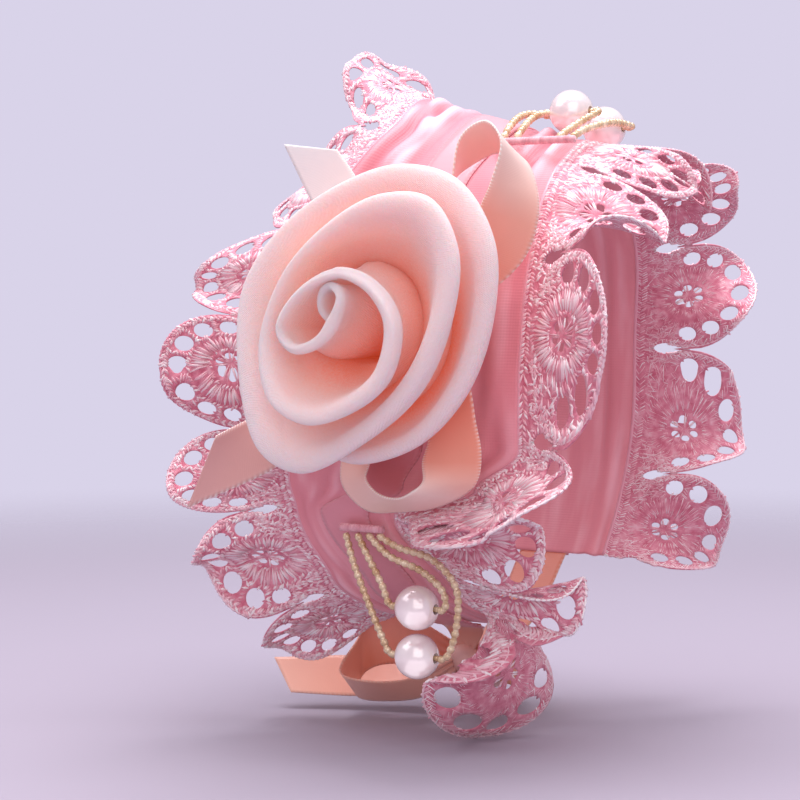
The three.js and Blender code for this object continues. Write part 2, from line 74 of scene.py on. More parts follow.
# Beaded strands: pale gold glass seed beads on a thread that a sewn bar holds at both ends.
# Each runs from its bar to a pearl, through the pearl's bore and back to the bar.
PEARL_DIAMETER = 7.8
PEARL_BORE = 1.5
BEAD_DIAMETER = 1.4
BEAD_LENGTH = 1.2
BEAD_PITCH = 1.4
STRAND_THREAD = 1.0
STRAND_FACING = (0.2, -0.9, 0.4)
BAR_DIAMETER = 1.4
HANG = -90
GAP = 0.3
TINY = 1e-9
CURVE_SAMPLES = 2000


def tint(code):
    """Colour of a six digit code, as the linear values that a shader takes."""
    parts = np.array([int(code[k:k + 2], 16) for k in (0, 2, 4)]) / 255
    linear = np.where(parts < 0.04045, parts / 12.92, ((parts + 0.055) / 1.055) ** 2.4)
    return (*linear, 1.0)


class Pattern:
    """A socket among a finish's nodes, with the arithmetic that the finish is written in."""

    def __init__(self, tree, socket=None):
        self.tree = tree
        self.socket = socket

    def node(self, kind, settings, sockets, out=0):
        made = self.tree.nodes.new("ShaderNode" + kind)
        for name, value in settings.items():
            if name == "stops":
                while len(made.color_ramp.elements) < len(value):
                    made.color_ramp.elements.new(1)
                for element, (place, colour) in zip(made.color_ramp.elements, value):
                    element.position = place
                    element.color = colour
            else:
                setattr(made, name, value)
        for key, value in sockets.items():
            if isinstance(value, Pattern):
                self.tree.links.new(value.socket, made.inputs[key])
            else:
                made.inputs[key].default_value = value
        return Pattern(self.tree, made.outputs[out])

    def maths(self, operation, other=0):
        return self.node("Math", {"operation": operation}, {0: self, 1: other})

    __add__ = __radd__ = partialmethod(maths, "ADD")
    __sub__ = partialmethod(maths, "SUBTRACT")
    __mul__ = __rmul__ = partialmethod(maths, "MULTIPLY")
    wave = partialmethod(maths, "SINE")

    def __rsub__(self, other):
        return self.node("Math", {"operation": "SUBTRACT"}, {0: other, 1: self})


class Finish(Pattern):
    """A new material, with its constants set on the shader."""

    def __init__(self, name, **constants):
        self.material = bpy.data.materials.new(name)
        self.material.use_nodes = True
        super().__init__(self.material.node_tree)
        self.shader = self.tree.nodes["Principled BSDF"]
        for socket, value in constants.items():
            self.shader.inputs[socket.replace("_", " ")].default_value = value

    def set(self, socket, pattern):
        self.tree.links.new(pattern.socket, self.shader.inputs[socket])

    def noise(self, scale, detail=3.0, stretch=(1, 1, 1), space="Object"):
        place = self.node("TexCoord", {}, {}, space)
        place = self.node("Mapping", {}, {"Vector": place, "Scale": stretch})
        return self.node("TexNoise", {}, {"Vector": place, "Scale": scale, "Detail": detail})

    def attribute(self, name):
        return self.node("Attribute", {"attribute_name": name}, {}, "Fac")

    def along(self, axis):
        across = self.node("UVMap", {}, {})
        return self.node("SeparateXYZ", {}, {0: across}, axis)

    def ramp(self, pattern, *stops):
        colours = [(place, tint(code)) for place, code in stops]
        return self.node("ValToRGB", {"stops": colours}, {0: pattern})

    def paint(self, pattern, *stops, socket="Base Color"):
        self.set(socket, self.ramp(pattern, *stops))

    def mix(self, share, first, second):
        return self.node("Mix", {"data_type": "RGBA"}, {0: share, 6: first, 7: second}, 2)

    def bump(self, height, strength, distance):
        relief = {"Strength": strength, "Distance": distance * MM, "Height": height}
        self.set("Normal", self.node("Bump", {}, relief))


def unit(vectors):
    """The same directions with length one."""
    return vectors / np.maximum(np.linalg.norm(vectors, axis=-1, keepdims=True), TINY)


def lengths_along(points):
    """Length run from the first point to each point."""
    return np.concatenate([[0], np.cumsum(np.linalg.norm(np.diff(points, axis=0), axis=1))])


def smooth_curve(points, shares):
    """Places at shares of a centripetal curve through points."""
    points = np.array(points, float)
    padded = np.vstack([2 * points[0] - points[1], points, 2 * points[-1] - points[-2]])
    place = np.clip(np.asarray(shares, float), 0, 1) * (len(points) - 1)
    first = np.minimum(place.astype(int), len(points) - 2)
    rest = (place - first)[:, None]
    before, start, end, after = (padded[first + k] for k in range(4))
    step_in, step, step_out = (
        np.maximum(np.linalg.norm(b - a, axis=1, keepdims=True), TINY) ** 0.5
        for a, b in ((before, start), (start, end), (end, after))
    )
    leave = step * ((start - before) / step_in - (end - before) / (step_in + step) + (end - start) / step)
    arrive = step * ((end - start) / step - (after - start) / (step + step_out) + (after - end) / step_out)
    bend = -3 * start + 3 * end - 2 * leave - arrive
    twist = 2 * start - 2 * end + leave + arrive
    return start + rest * (leave + rest * (bend + rest * twist))


def even_curve(points, count):
    """Places evenly spaced along a curve through points, their shares of it and its length."""
    shares = np.linspace(0, 1, CURVE_SAMPLES)
    fine = smooth_curve(points, shares)
    lengths = lengths_along(fine)
    wanted = np.linspace(0, lengths[-1], count)
    places = np.stack([np.interp(wanted, lengths, fine[:, k]) for k in range(3)], axis=1)
    return places, np.interp(wanted, lengths, shares), lengths[-1]


def rings_round(lines, up, beside, radii, sides):
    """Rings of points round lines of equal point count, closed at both ends: points and faces."""
    turn = np.linspace(0, 2 * np.pi, sides, endpoint=False)[:, None]
    ring = up[:, :, None] * np.cos(turn) + beside[:, :, None] * np.sin(turn)
    points = (lines[:, :, None] + ring * radii[:, :, None, None]).reshape(-1, 3)
    at = np.arange(len(points)).reshape(*lines.shape[:2], sides)
    turned = np.roll(at, -1, axis=2)
    walls = np.stack([at[:, :-1], turned[:, :-1], turned[:, 1:], at[:, 1:]], axis=-1).reshape(-1, 4)
    caps = np.concatenate([at[:, 0, ::-1], at[:, -1]])
    return points, [*walls.tolist(), *caps.tolist()]


def tubes(lines, facing, radii, sides):
    """Round threads along lines: points and faces."""
    tangent = unit(np.gradient(lines, axis=1))
    beside = unit(np.cross(tangent, facing))
    return rings_round(lines, np.cross(beside, tangent), beside, radii, sides)


def join_parts(parts):
    """Points and faces of several meshes as those of one."""
    points, faces, shift = [], [], 0
    for part_points, part_faces in parts:
        points.append(part_points)
        faces.extend([index + shift for index in face] for face in part_faces)
        shift += len(part_points)
    return np.concatenate(points), faces


def mesh_piece(name, points, faces):
    """Object of a mesh given in millimetres."""
    mesh = bpy.data.meshes.new(name)
    mesh.from_pydata((points * MM).tolist(), [], faces)
    mesh.shade_smooth()
    return add_object(name, mesh)


def dress(piece, finish, body, slot, *nodes):
    """Gives a piece its finish and its body, and hides the solids that it stands for; the slot is not used.
    """
    piece.data.materials.append(finish.material)
    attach(piece, body)
    if nodes:
        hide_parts(*nodes)


def bar_place(bar):
    low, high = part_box(bar)
    return np.array((low + high) / 2) / MM


def turned_place(bar, x, reach, degrees=HANG):
    angle = np.radians(degrees)
    return np.array([x, bar[1] + reach * np.cos(angle), bar[2] + reach * np.sin(angle)])


bead_gold = Finish("seed_bead_glass", Roughness=0.16, Coat_Weight=0.5, Coat_Roughness=0.08, Metallic=0.25)
bead_tone = bead_gold.noise(420, 2)
bead_gold.paint(bead_tone, (0.3, "C59C6C"), (0.7, "F6E4C4"))

PEARL_STEP = PEARL_DIAMETER + 2 * GAP
LOWER_REACH = 13
UPPER_REACH = 14
DROPS = {
    "lower_short": ("lower", -9, -6.8, (3.4, LOWER_REACH),
                    [(-7, 4.4), (-3.8, 9.6)],
                    [(-2.4, 4.4), (4.6, 6.8), (8.8, 10.2)]),
    "lower_long": ("lower", -11.4, -4.6, (3.4, LOWER_REACH + PEARL_STEP),
                   [(-9.8, 6), (-6.8, 12.6), (-3.6, 19)],
                   [(-0.6, 2.8), (6.6, 4.6), (11.2, 9), (11.4, 15), (10, 20)]),
    "upper_short": ("upper", 14.2, 22.4, (18.4, UPPER_REACH, 24),
                    [(14, 4, 36), (13.2, 9.5, 29)], [(22.6, 4, 26), (23.4, 9.5, 25)]),
    "upper_long": ("upper", 11.6, 25, (20, UPPER_REACH + PEARL_STEP, 8.5),
                   [(11.2, 5, 38), (10.6, 12, 27), (13, 18.5, 16)],
                   [(25.4, 5, 22), (26, 12, 16), (25.6, 18, 12)]),
}
BEAD_PROFILE = np.array([
    [-0.42, 0.3], [-0.5, 0.62], [-0.3, 0.92], [0, 1], [0.3, 0.92], [0.5, 0.62], [0.42, 0.3],
])
BEAD_SIDES = 10
BEAD_FACING = (0.31, 0.87, 0.39)
PEARL_LEAD = 1.6


def strand_leg(bar, x, side, centre, bends):
    aside = np.array([side, 0, 0])
    start = turned_place(bar, x, BAR_DIAMETER / 2 + GAP, *bends[0][2:])
    near = [centre + aside * (PEARL_DIAMETER / 2 + reach) for reach in (PEARL_LEAD, GAP)]
    return [start, *(turned_place(bar, *bend) for bend in bends), *near]


def seed_beads(centres, directions):
    """Seed beads: short barrels with a dimple where the thread enters."""
    rings = centres[:, None] + directions[:, None] * BEAD_PROFILE[:, :1] * BEAD_LENGTH
    facing = unit(np.cross(directions, BEAD_FACING))[:, None]
    beside = np.cross(directions[:, None], facing)
    return rings_round(rings, facing, beside, BEAD_PROFILE[None, :, 1] * BEAD_DIAMETER / 2, BEAD_SIDES)


strands = {}
for drop, (level, left, right, pearl, left_bends, right_bends) in DROPS.items():
    bar = bar_place("drop_bar_" + level)
    centre = turned_place(bar, *pearl)
    left_leg = strand_leg(bar, left, -1, centre, left_bends)
    right_leg = strand_leg(bar, right, 1, centre, right_bends)
    parts = []
    for leg in (left_leg, right_leg):
        *_, length = even_curve(leg, 2)
        beads = round(length / BEAD_PITCH)
        places = even_curve(leg, 2 * beads + 1)[0]
        directions = unit(np.gradient(places, axis=0))
        parts.append(seed_beads(places[1::2], directions[1::2]))
    legs = [even_curve(leg, 40)[0] for leg in (left_leg, right_leg)]
    route = np.concatenate([legs[0], np.linspace(legs[0][-1], legs[1][-1], 12)[1:-1], legs[1][::-1]])
    parts.append(tubes(route[None], STRAND_FACING, np.full((1, len(route)), STRAND_THREAD / 2), 8))
    strand = mesh_piece("beaded_strand_" + drop, *join_parts(parts))
    dress(strand, bead_gold, "drop_" + drop, "seed_bead", "bead_strand_" + drop)
    strands[drop] = (strand, route, centre)

# Pearls: one round imitation pearl on each strand, bored through from side to side.
# A smooth lacquered ball, creamy with a rosy tone, that spins on its thread.
pearl_lustre = Finish("pearl_lustre", Roughness=0.2, Coat_Weight=1.0, Coat_Roughness=0.05, Metallic=0.2,
                      Specular_IOR_Level=0.8)
pearl_tone = pearl_lustre.noise(160, 2)
pearl_lustre.paint(pearl_tone, (0.3, "E9D6D8"), (0.7, "F8EDEC"))
pearl_lustre.set("Roughness", 0.14 + 0.14 * pearl_tone)

pearl_group = bpy.data.collections.new("pearl_group")
for drop, (strand, route, centre) in strands.items():
    bpy.ops.mesh.primitive_uv_sphere_add(segments=48, ring_count=40, radius=PEARL_DIAMETER / 2 * MM,
                                         location=centre * MM, rotation=(0, np.pi / 2, 0))
    pearl = bpy.context.object
    pearl.name = "lustre_pearl_" + drop
    bpy.ops.object.transform_apply(location=True, rotation=True, scale=True)
    shell = bmesh.new()
    shell.from_mesh(pearl.data)
    ends = [point for point in shell.verts
            if np.hypot(*(np.array(point.co) / MM - centre)[1:]) < PEARL_BORE / 2]
    bmesh.ops.delete(shell, geom=ends, context="VERTS")
    bmesh.ops.bridge_loops(shell, edges=[edge for edge in shell.edges if edge.is_boundary])
    bmesh.ops.recalc_face_normals(shell, faces=shell.faces)
    shell.to_mesh(pearl.data)
    shell.free()
    bpy.ops.object.shade_smooth_by_angle(angle=np.radians(50))
    dress(pearl, pearl_lustre, "pearl_" + drop, "pearl", "pearl_" + drop)
    pearl_group.objects.link(pearl)
    length = lengths_along(route)[-1]

# Sewn bars: a short bar of thread on the strip for each pair of strands.
# The bar's long stitches are wrapped round with the same thread, turn beside turn.
bar_thread = Finish("bar_thread", Roughness=0.6, Sheen_Weight=0.3)
bar_tone = bar_thread.noise(900, 3, (1, 0.2, 0.2))
bar_thread.paint(bar_tone, (0.3, "D48C98"), (0.7, "EEB8C0"))
BAR_TURNS = 0.55
WRAP_RELIEF = 0.14
WELD_GAP = 0.01


def add_values(piece, name, values):
    """Stores one value for each point of a piece, for its finish to read."""
    piece.data.attributes.new(name, "FLOAT", "POINT").data.foreach_set("value", values.astype(np.float32))


def grid_piece(name, columns, rows, place, **stored):
    """Grid whose points go to place(u, v) in millimetres, with stored functions of u and v."""
    bpy.ops.mesh.primitive_grid_add(x_subdivisions=columns, y_subdivisions=rows, size=2)
    piece = bpy.context.object
    piece.name = name
    flat = np.empty(3 * len(piece.data.vertices))
    piece.data.vertices.foreach_get("co", flat)
    u, v = np.clip((flat.reshape(-1, 3)[:, :2].T + 1) / 2, 0, 1)
    piece.data.vertices.foreach_set("co", (place(u, v) * MM).ravel())
    for label, value in stored.items():
        add_values(piece, label, value(u, v))
    bpy.ops.object.shade_smooth()
    return piece


@contextmanager
def editing():
    """Edit mode on the active piece, with all of it selected."""
    bpy.ops.object.mode_set(mode="EDIT")
    bpy.ops.mesh.select_all(action="SELECT")
    yield
    bpy.ops.object.mode_set(mode="OBJECT")


def weld():
    """Merges the active piece's points that meet, closes open ends and turns the faces outwards."""
    with editing():
        bpy.ops.mesh.remove_doubles(threshold=WELD_GAP * MM)
        bpy.ops.mesh.select_all(action="DESELECT")
        bpy.ops.mesh.select_non_manifold(use_wire=False, use_multi_face=False, use_non_contiguous=False,
                                         use_verts=False)
        bpy.ops.mesh.edge_face_add()
        bpy.ops.mesh.select_all(action="SELECT")
        bpy.ops.mesh.normals_make_consistent(inside=False)


for level in ("lower", "upper"):
    low, high = (np.array(corner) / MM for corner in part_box("drop_bar_" + level))

    def wrapped_bar(u, v):
        x = low[0] + (high[0] - low[0]) * u
        turn = 2 * np.pi * v
        wound = np.abs(np.cos(np.pi * x / BAR_TURNS + turn / 2))
        radius = BAR_DIAMETER / 2 * (1 - WRAP_RELIEF + WRAP_RELIEF * wound)
        middle = (low + high) / 2
        return np.stack([x, middle[1] + radius * np.cos(turn), middle[2] + radius * np.sin(turn)], axis=1)

    bar = grid_piece("wrapped_bar_" + level, 180, 16, wrapped_bar)
    weld()
    dress(bar, bar_thread, "cuff", "thread", "drop_bar_" + level)

# Organza strip: a sheer stiff silk strip bent round the wrist into a tall oval, open at the bottom.
# Soft folds run along it, and its edges are gathered into the lace.
FRONT, BACK, TOP, BOTTOM = 28.5, 29, 43, 46
LOWER_SQUARENESS = 2.7
STRIP_START, STRIP_END = -80, 226
STRIP_WIDTH = 48
ORGANZA_THICKNESS = 0.3
ANGLE_STEP = 0.2
FOLD_START, FOLD_GROWTH = 6, 5
FOLD_HEIGHT, FOLD_RANGE = 0.4, 1.9
TOP_FOLD, TOP_FOLD_ANGLE, TOP_FOLD_SPREAD = 0.5, 80, 22
STRIP_EDGES = np.array([
    [-80, 0.54, 0.54, 0, 0], [-50, 0.8, 0.26, 0, 0], [-26, 0.95, -0.1, 0, 0], [-19, 0.99, 0.6, 0, 0],
    [-10, 1, 0.98, 0, 0], [12, 1, 1, 0, 0],
    [42, 0.78, 1, 0, 0], [70, 0.52, 0.96, 3, -2.5], [105, 0.62, 0.92, 7, -5], [142, 0.74, 0.8, 3, -2],
    [180, 0.66, 0.66, 0, 0], [226, 0.54, 0.54, 0, 0],
])


def oval(degrees):
    """Middle line of the strip at angles round the wrist."""
    angle = np.radians(degrees)
    cos, sin = np.cos(angle), np.sin(angle)
    power = np.where(sin > 0, 1, 2 / LOWER_SQUARENESS)
    y = -np.where(cos > 0, FRONT, BACK) * np.sign(cos) * np.abs(cos) ** power
    z = np.where(sin > 0, TOP, BOTTOM) * np.sign(sin) * np.abs(sin) ** power
    return np.stack([np.zeros_like(y), y, z], axis=-1)


def oval_frame(degrees):
    """Place, direction and outward normal of the strip at angles round the wrist."""
    tangent = unit(oval(degrees + ANGLE_STEP) - oval(degrees - ANGLE_STEP))
    normal = np.stack([np.zeros_like(tangent[..., 0]), -tangent[..., 2], tangent[..., 1]], axis=-1)
    return oval(degrees), tangent, normal


oval_angles = np.linspace(STRIP_START, STRIP_END, 3001)
oval_lengths = lengths_along(oval(oval_angles))


def angle_at(share):
    return np.interp(share * oval_lengths[-1], oval_lengths, oval_angles)


def eased(share):
    """Share from 0 to 1 that starts and ends slowly."""
    share = np.clip(share, 0, 1)
    return share * share * (3 - 2 * share)


def station_at(stations, degrees):
    """Values between stations of angle and values, eased from one station to the next."""
    after = np.clip(np.searchsorted(stations[:, 0], degrees, side="right"), 1, len(stations) - 1)
    start, end = stations[after - 1], stations[after]
    share = eased((degrees - start[..., 0]) / (end[..., 0] - start[..., 0]))[..., None]
    return np.moveaxis(start[..., 1:] + share * (end[..., 1:] - start[..., 1:]), -1, 0)


def strip_place(degrees, across, lift):
    """Place on the strip, 0 to 1 from its left to its right edge, raised from its middle line."""
    centre, _, normal = oval_frame(degrees)
    left, right, left_lift, right_lift = station_at(STRIP_EDGES, degrees)
    x = STRIP_WIDTH / 2 * (-left + across * (left + right))
    raised = left_lift + across * (right_lift - left_lift) + lift
    place = centre + normal * raised[..., None]
    place[..., 0] = x
    return place


def strip_width(degrees):
    left, right, _, _ = station_at(STRIP_EDGES, degrees)
    return STRIP_WIDTH / 2 * (left + right)


def organza_folds(degrees, across):
    """Height of the soft folds, none along the middle ribbon and at the edges."""
    from_middle = np.abs(across - 0.5) * strip_width(degrees)
    clear = np.clip((from_middle - FOLD_START) / FOLD_GROWTH, 0, 1)
    edge = 1 - np.abs(2 * across - 1) ** 8
    angle = np.radians(degrees)
    drift = 0.9 * np.sin(angle * 2.3) + 0.5 * np.sin(angle * 5.1 + 1)
    waves = np.sin(across * 34 + drift * 2) + 0.6 * np.sin(across * 57 - drift * 3 + 2)
    cross = 0.5 * np.sin(angle * 19 + across * 9) * np.sin(across * 6 + 1)
    height = FOLD_HEIGHT + TOP_FOLD * np.exp(-((degrees - TOP_FOLD_ANGLE) / TOP_FOLD_SPREAD) ** 2)
    return height * (waves + cross) * clear * edge


def take_up(piece):
    """Makes a piece the active one and the only one selected."""
    bpy.ops.object.select_all(action="DESELECT")
    bpy.context.view_layer.objects.active = piece
    piece.select_set(True)


def thicken(piece, thickness):
    """Gives a sheet its thickness, half to each side."""
    take_up(piece)
    solid = piece.modifiers.new("thickness", "SOLIDIFY")
    solid.thickness = thickness * MM
    solid.offset = 0
    bpy.ops.object.modifier_apply(modifier=solid.name)


def strip_surface(u, v):
    degrees = angle_at(u)
    return strip_place(degrees, 1 - v, organza_folds(degrees, 1 - v))


# Fold height as a share, which the finish turns into painted shade in the fold valleys and painted light on
# the ridges.
def strip_fold_shade(u, v):
    return 0.5 + organza_folds(angle_at(u), 1 - v) / FOLD_RANGE


# The faint pink emission is painted light that lifts the strip where it lies in shade.
organza_silk = Finish("organza_silk", Roughness=0.55, Sheen_Weight=0.5, Sheen_Roughness=0.35,
                      Sheen_Tint=tint("F6E8FF"), Emission_Strength=0.08, Emission_Color=tint("F0B0BC"))
# Colour from the stored fold height and a noise: deeper pink in the fold valleys is painted shade, and the
# paler ridges are painted light.
fold = organza_silk.attribute("fold")
crinkle = organza_silk.noise(1, 3, (9, 7, 1), "UV")
organza_silk.paint(0.55 * fold + 0.45 * crinkle, (0.28, "CB6C7A"), (0.5, "DC8692"), (0.72, "F2BDC8"))
weave = (organza_silk.along(0) * 2600).wave() + (organza_silk.along(1) * 620).wave()
organza_silk.bump(3 * crinkle + 0.3 * weave, 0.25, 0.12)

strip = grid_piece("organza_strip", 300, 72, strip_surface, fold=strip_fold_shade)
thicken(strip, ORGANZA_THICKNESS)
dress(strip, organza_silk, "cuff", "organza", "wrist_strip")

# Middle ribbon: a satin ribbon sewn flat along the middle of the strip, from end to end.
# Woven satin with a fine corded edge; the bow and the ties are cut from the same ribbon.
SATIN_WIDTH = 10
SATIN_THICKNESS = 0.3
RIBBON_LIFT = 0.95
RIBBON_FLAT = 0.34
RIBBON_CROWN = 0.1
RAISED_SHARE = 0.06
STITCH_PITCH = 0.75
RIB_PITCH = 0.28
PALE_STITCHING = "FFF4EE"


def satin_finish(name, length, *tones, stitching=PALE_STITCHING):
    """Satin: a soft gloss, tones that change along it, faint cross ribs and a stitched edge; on the bow's
    loops and tails and on the ties the tones are painted light and painted shade.
    """
    satin = Finish(name, Roughness=0.34, Sheen_Weight=0.25, Sheen_Roughness=0.4, Specular_IOR_Level=0.6)
    along = satin.along(0)
    across = satin.along(1)
    sway = satin.noise(38, 2)
    stops = zip(np.linspace(0.05, 0.95, len(tones)), tones)
    tone = satin.ramp(along + 0.3 * sway - 0.15, *stops)
    edge = (1 - 2 * across).maths("ABSOLUTE").maths("POWER", 18)
    stitches = 0.5 + 0.5 * (along * (length / STITCH_PITCH * 2 * np.pi)).wave()
    satin.set("Base Color", satin.mix(edge * stitches, tone, tint(stitching)))
    ribs = (along * (length / RIB_PITCH * 2 * np.pi)).wave()
    satin.bump(0.25 * ribs + 2.2 * edge * stitches, 0.3, 0.08)
    satin.set("Roughness", 0.28 + 0.14 * sway)
    return satin


def centre_ribbon_surface(u, v):
    degrees = angle_at(u)
    across = 0.5 + (0.5 - v) * SATIN_WIDTH / strip_width(degrees)
    raised = np.clip(1 - np.minimum(u, 1 - u) / RAISED_SHARE, 0, 1) ** 2
    lift = RIBBON_FLAT + (RIBBON_LIFT - RIBBON_FLAT) * raised
    return strip_place(degrees, across, lift + RIBBON_CROWN * (1 - (2 * v - 1) ** 2))


middle_satin = satin_finish("middle_satin", 206, "E2919C", "E79CA7", "E2919C", stitching="EDB0BA")
centre_ribbon = grid_piece("middle_ribbon", 240, 8, centre_ribbon_surface)
thicken(centre_ribbon, SATIN_THICKNESS)
dress(centre_ribbon, middle_satin, "cuff", "satin", "centre_ribbon")

# Lace: a dense silk lace on each edge, gathered so that its fans stand out as a ruffle.
# Each fan has a rosette with a flower, a sunburst of stitches, a ring of round windows and a
# whipped border; fans join at a teardrop hole and are sewn on along two seam rows and a cord.
LACE_WIDTH = 22
FAN_RADIUS = 12.6
FAN_PITCH = 26
HALF_FAN = FAN_PITCH / 2
ROSETTE = LACE_WIDTH - FAN_RADIUS
WINDOWS = 7
WINDOW_STEP = 29
WINDOW_RADIUS = 1.68
WINDOW_PLACE = 9.4
BRIDGE, BRIDGE_STITCHES = (7.9, 10.8), 6
TEARDROP = (1.35, 2.7)
TEARDROP_PLACE = 6.0
TEARDROP_STITCHES = 14
LACE_UNDER = 0.6
LACE_INSET = 0.3
BORDER_RADIUS = 12.3
BORDER_TURN = 106
BORDER_POINTS = 96
BORDER_ROWS = (12, 11.5)
WINDOW_RING, ROSETTE_RING = 7.5, 3.7
SUNBURST, SPOKES, SPOKE_BUNDLE = (3.9, 7.2), 84, 30
FLOWER_HOLES, FLOWER_STITCHES = 6, 14
SEAM_ROWS, SEAM_STITCHES = ((0.05, 0.35), (1.1, -0.35)), 40
NET_TRIES, NET_STITCHES = 1100, 190
HEADER_POINTS, HEADER_SIDES, HEADER_TONE = 320, 6, 0.2
THREAD_SIDES = 4
THREAD_UNDER = 0.4
THREAD_TONE = (0.58, 0.28)
GROUND_THICKNESS = 0.22
GROUND_WELD = 0.02
LEFT_RUFFLE = np.array([
    [-80, 40, 0], [-68, 24, -8], [-55, 46, 2], [-42, 20, 4], [-31, 46, 0], [-20, 34, -2],
    [-10, 10, 4], [0, 34, 0], [10, 36, 4], [19, 2, 0], [28, 8, -8], [41, -22, 6], [58, -28, 10],
    [72, 0, 28], [86, 26, 18], [104, 34, 6], [118, 58, 0], [134, 14, -10], [150, 50, 6], [165, 12, 0],
    [180, 48, 8], [196, 16, -8], [211, 48, 0], [226, 25, 0],
])
RIGHT_RUFFLE = np.array([
    [-80, 94, -32], [-74, 108, -8], [-66, 112, 26], [-61, 4, -18], [-54, -24, -8], [-45, -4, -16],
    [-37, -26, 2], [-30, 2, 16], [-25.5, 60, -6], [-21, 58, -6], [-15, 52, -8], [-9, 34, -8],
    [-3, 22, 0], [12, 24, 0], [27, 30, 8], [41, -20, -8], [58, -34, 0], [76, -28, 6], [92, -4, 0],
    [108, -24, 8], [124, 16, 0], [138, 4, -8], [154, 46, 4], [170, 8, 0], [186, 46, 8], [202, 10, -8],
    [214, 48, 0], [226, 25, 0],
])
LEFT_JOINS = [-80, -56, -25, -9, 11, 36, 68, 122, 150, 176, 201, 226]
RIGHT_JOINS = [-80, -63, -45, -26, -8, 25, 58, 90, 120, 150, 176, 201, 226]


def ruffle_place(stations, side, degrees, reach):
    """Place on a lace at angles round the wrist and distances out from its seam."""
    _, tangent, normal = oval_frame(degrees)
    steps = (-ANGLE_STEP, 0, ANGLE_STEP)
    before, edge, after = (strip_place(degrees + step, max(side, 0), 0) for step in steps)
    tilt, lean = np.radians(station_at(stations, degrees))
    turn = tilt * (0.5 + 0.5 * reach / LACE_WIDTH)
    seam = GAP + 0.4 * np.abs(np.sin(tilt / 2))
    edge += side * unit(np.cross(after - before, normal)) * seam[..., None]
    edge[..., 0] += side * reach * np.cos(turn) * np.cos(lean)
    out = (reach * np.sin(turn) * np.cos(lean))[..., None]
    return edge + normal * out + tangent * (reach * np.sin(lean))[..., None]


def lace_place(stations, side, ends, flat, height=0):
    """Place and outward normal of flat lace between two joins, along and out from the seam."""
    degrees = ends[0] + (ends[1] - ends[0]) * (0.5 + flat[..., 0] / FAN_PITCH)
    degrees = np.clip(degrees, STRIP_START + LACE_INSET, STRIP_END - LACE_INSET)
    reach = flat[..., 1]
    place = ruffle_place(stations, side, degrees, reach)
    outward = side * unit(np.cross(ruffle_place(stations, side, degrees, reach + 0.1) - place,
                                   ruffle_place(stations, side, degrees + 0.1, reach) - place))
    return place + outward * np.asarray(height)[..., None], outward


def polar(radius, degrees):
    """Flat place at a radius from the rosette's middle, 0 degrees pointing out from the seam."""
    angle = np.radians(degrees)
    return np.stack(np.broadcast_arrays(radius * np.sin(angle), ROSETTE + radius * np.cos(angle)), axis=-1)


window_middles = polar(WINDOW_PLACE, (np.arange(WINDOWS) - (WINDOWS - 1) / 2) * WINDOW_STEP)


def stitches(starts, ends, radius, rise):
    """Fat stitches from starts to ends that arch up in the middle: flat lines and their radii."""
    share = np.array([0, 0.5, 1])
    flat = starts[:, None] + (ends - starts)[:, None] * share[:, None]
    height = np.broadcast_to(rise * np.array([-0.1, 1, -0.1]), flat.shape[:2])
    radii = np.broadcast_to(radius * np.array([0.6, 1, 0.6]), flat.shape[:2])
    return np.concatenate([flat, height[..., None]], axis=-1), radii


def whipped(random, radius, turn, count, half_width, thickness, slant=0.75):
    """Slanted stitches side by side over an arc round the rosette's middle."""
    around = np.linspace(-turn, turn, count) + random.normal(0, 0.25, count) * 2 * turn / count
    lean = np.degrees(slant * half_width / radius)
    starts = polar(radius - half_width + random.normal(0, 0.12, count), around - lean)
    ends = polar(radius + half_width + random.normal(0, 0.16, count), around + lean)
    return stitches(starts, ends, thickness, 0.12)


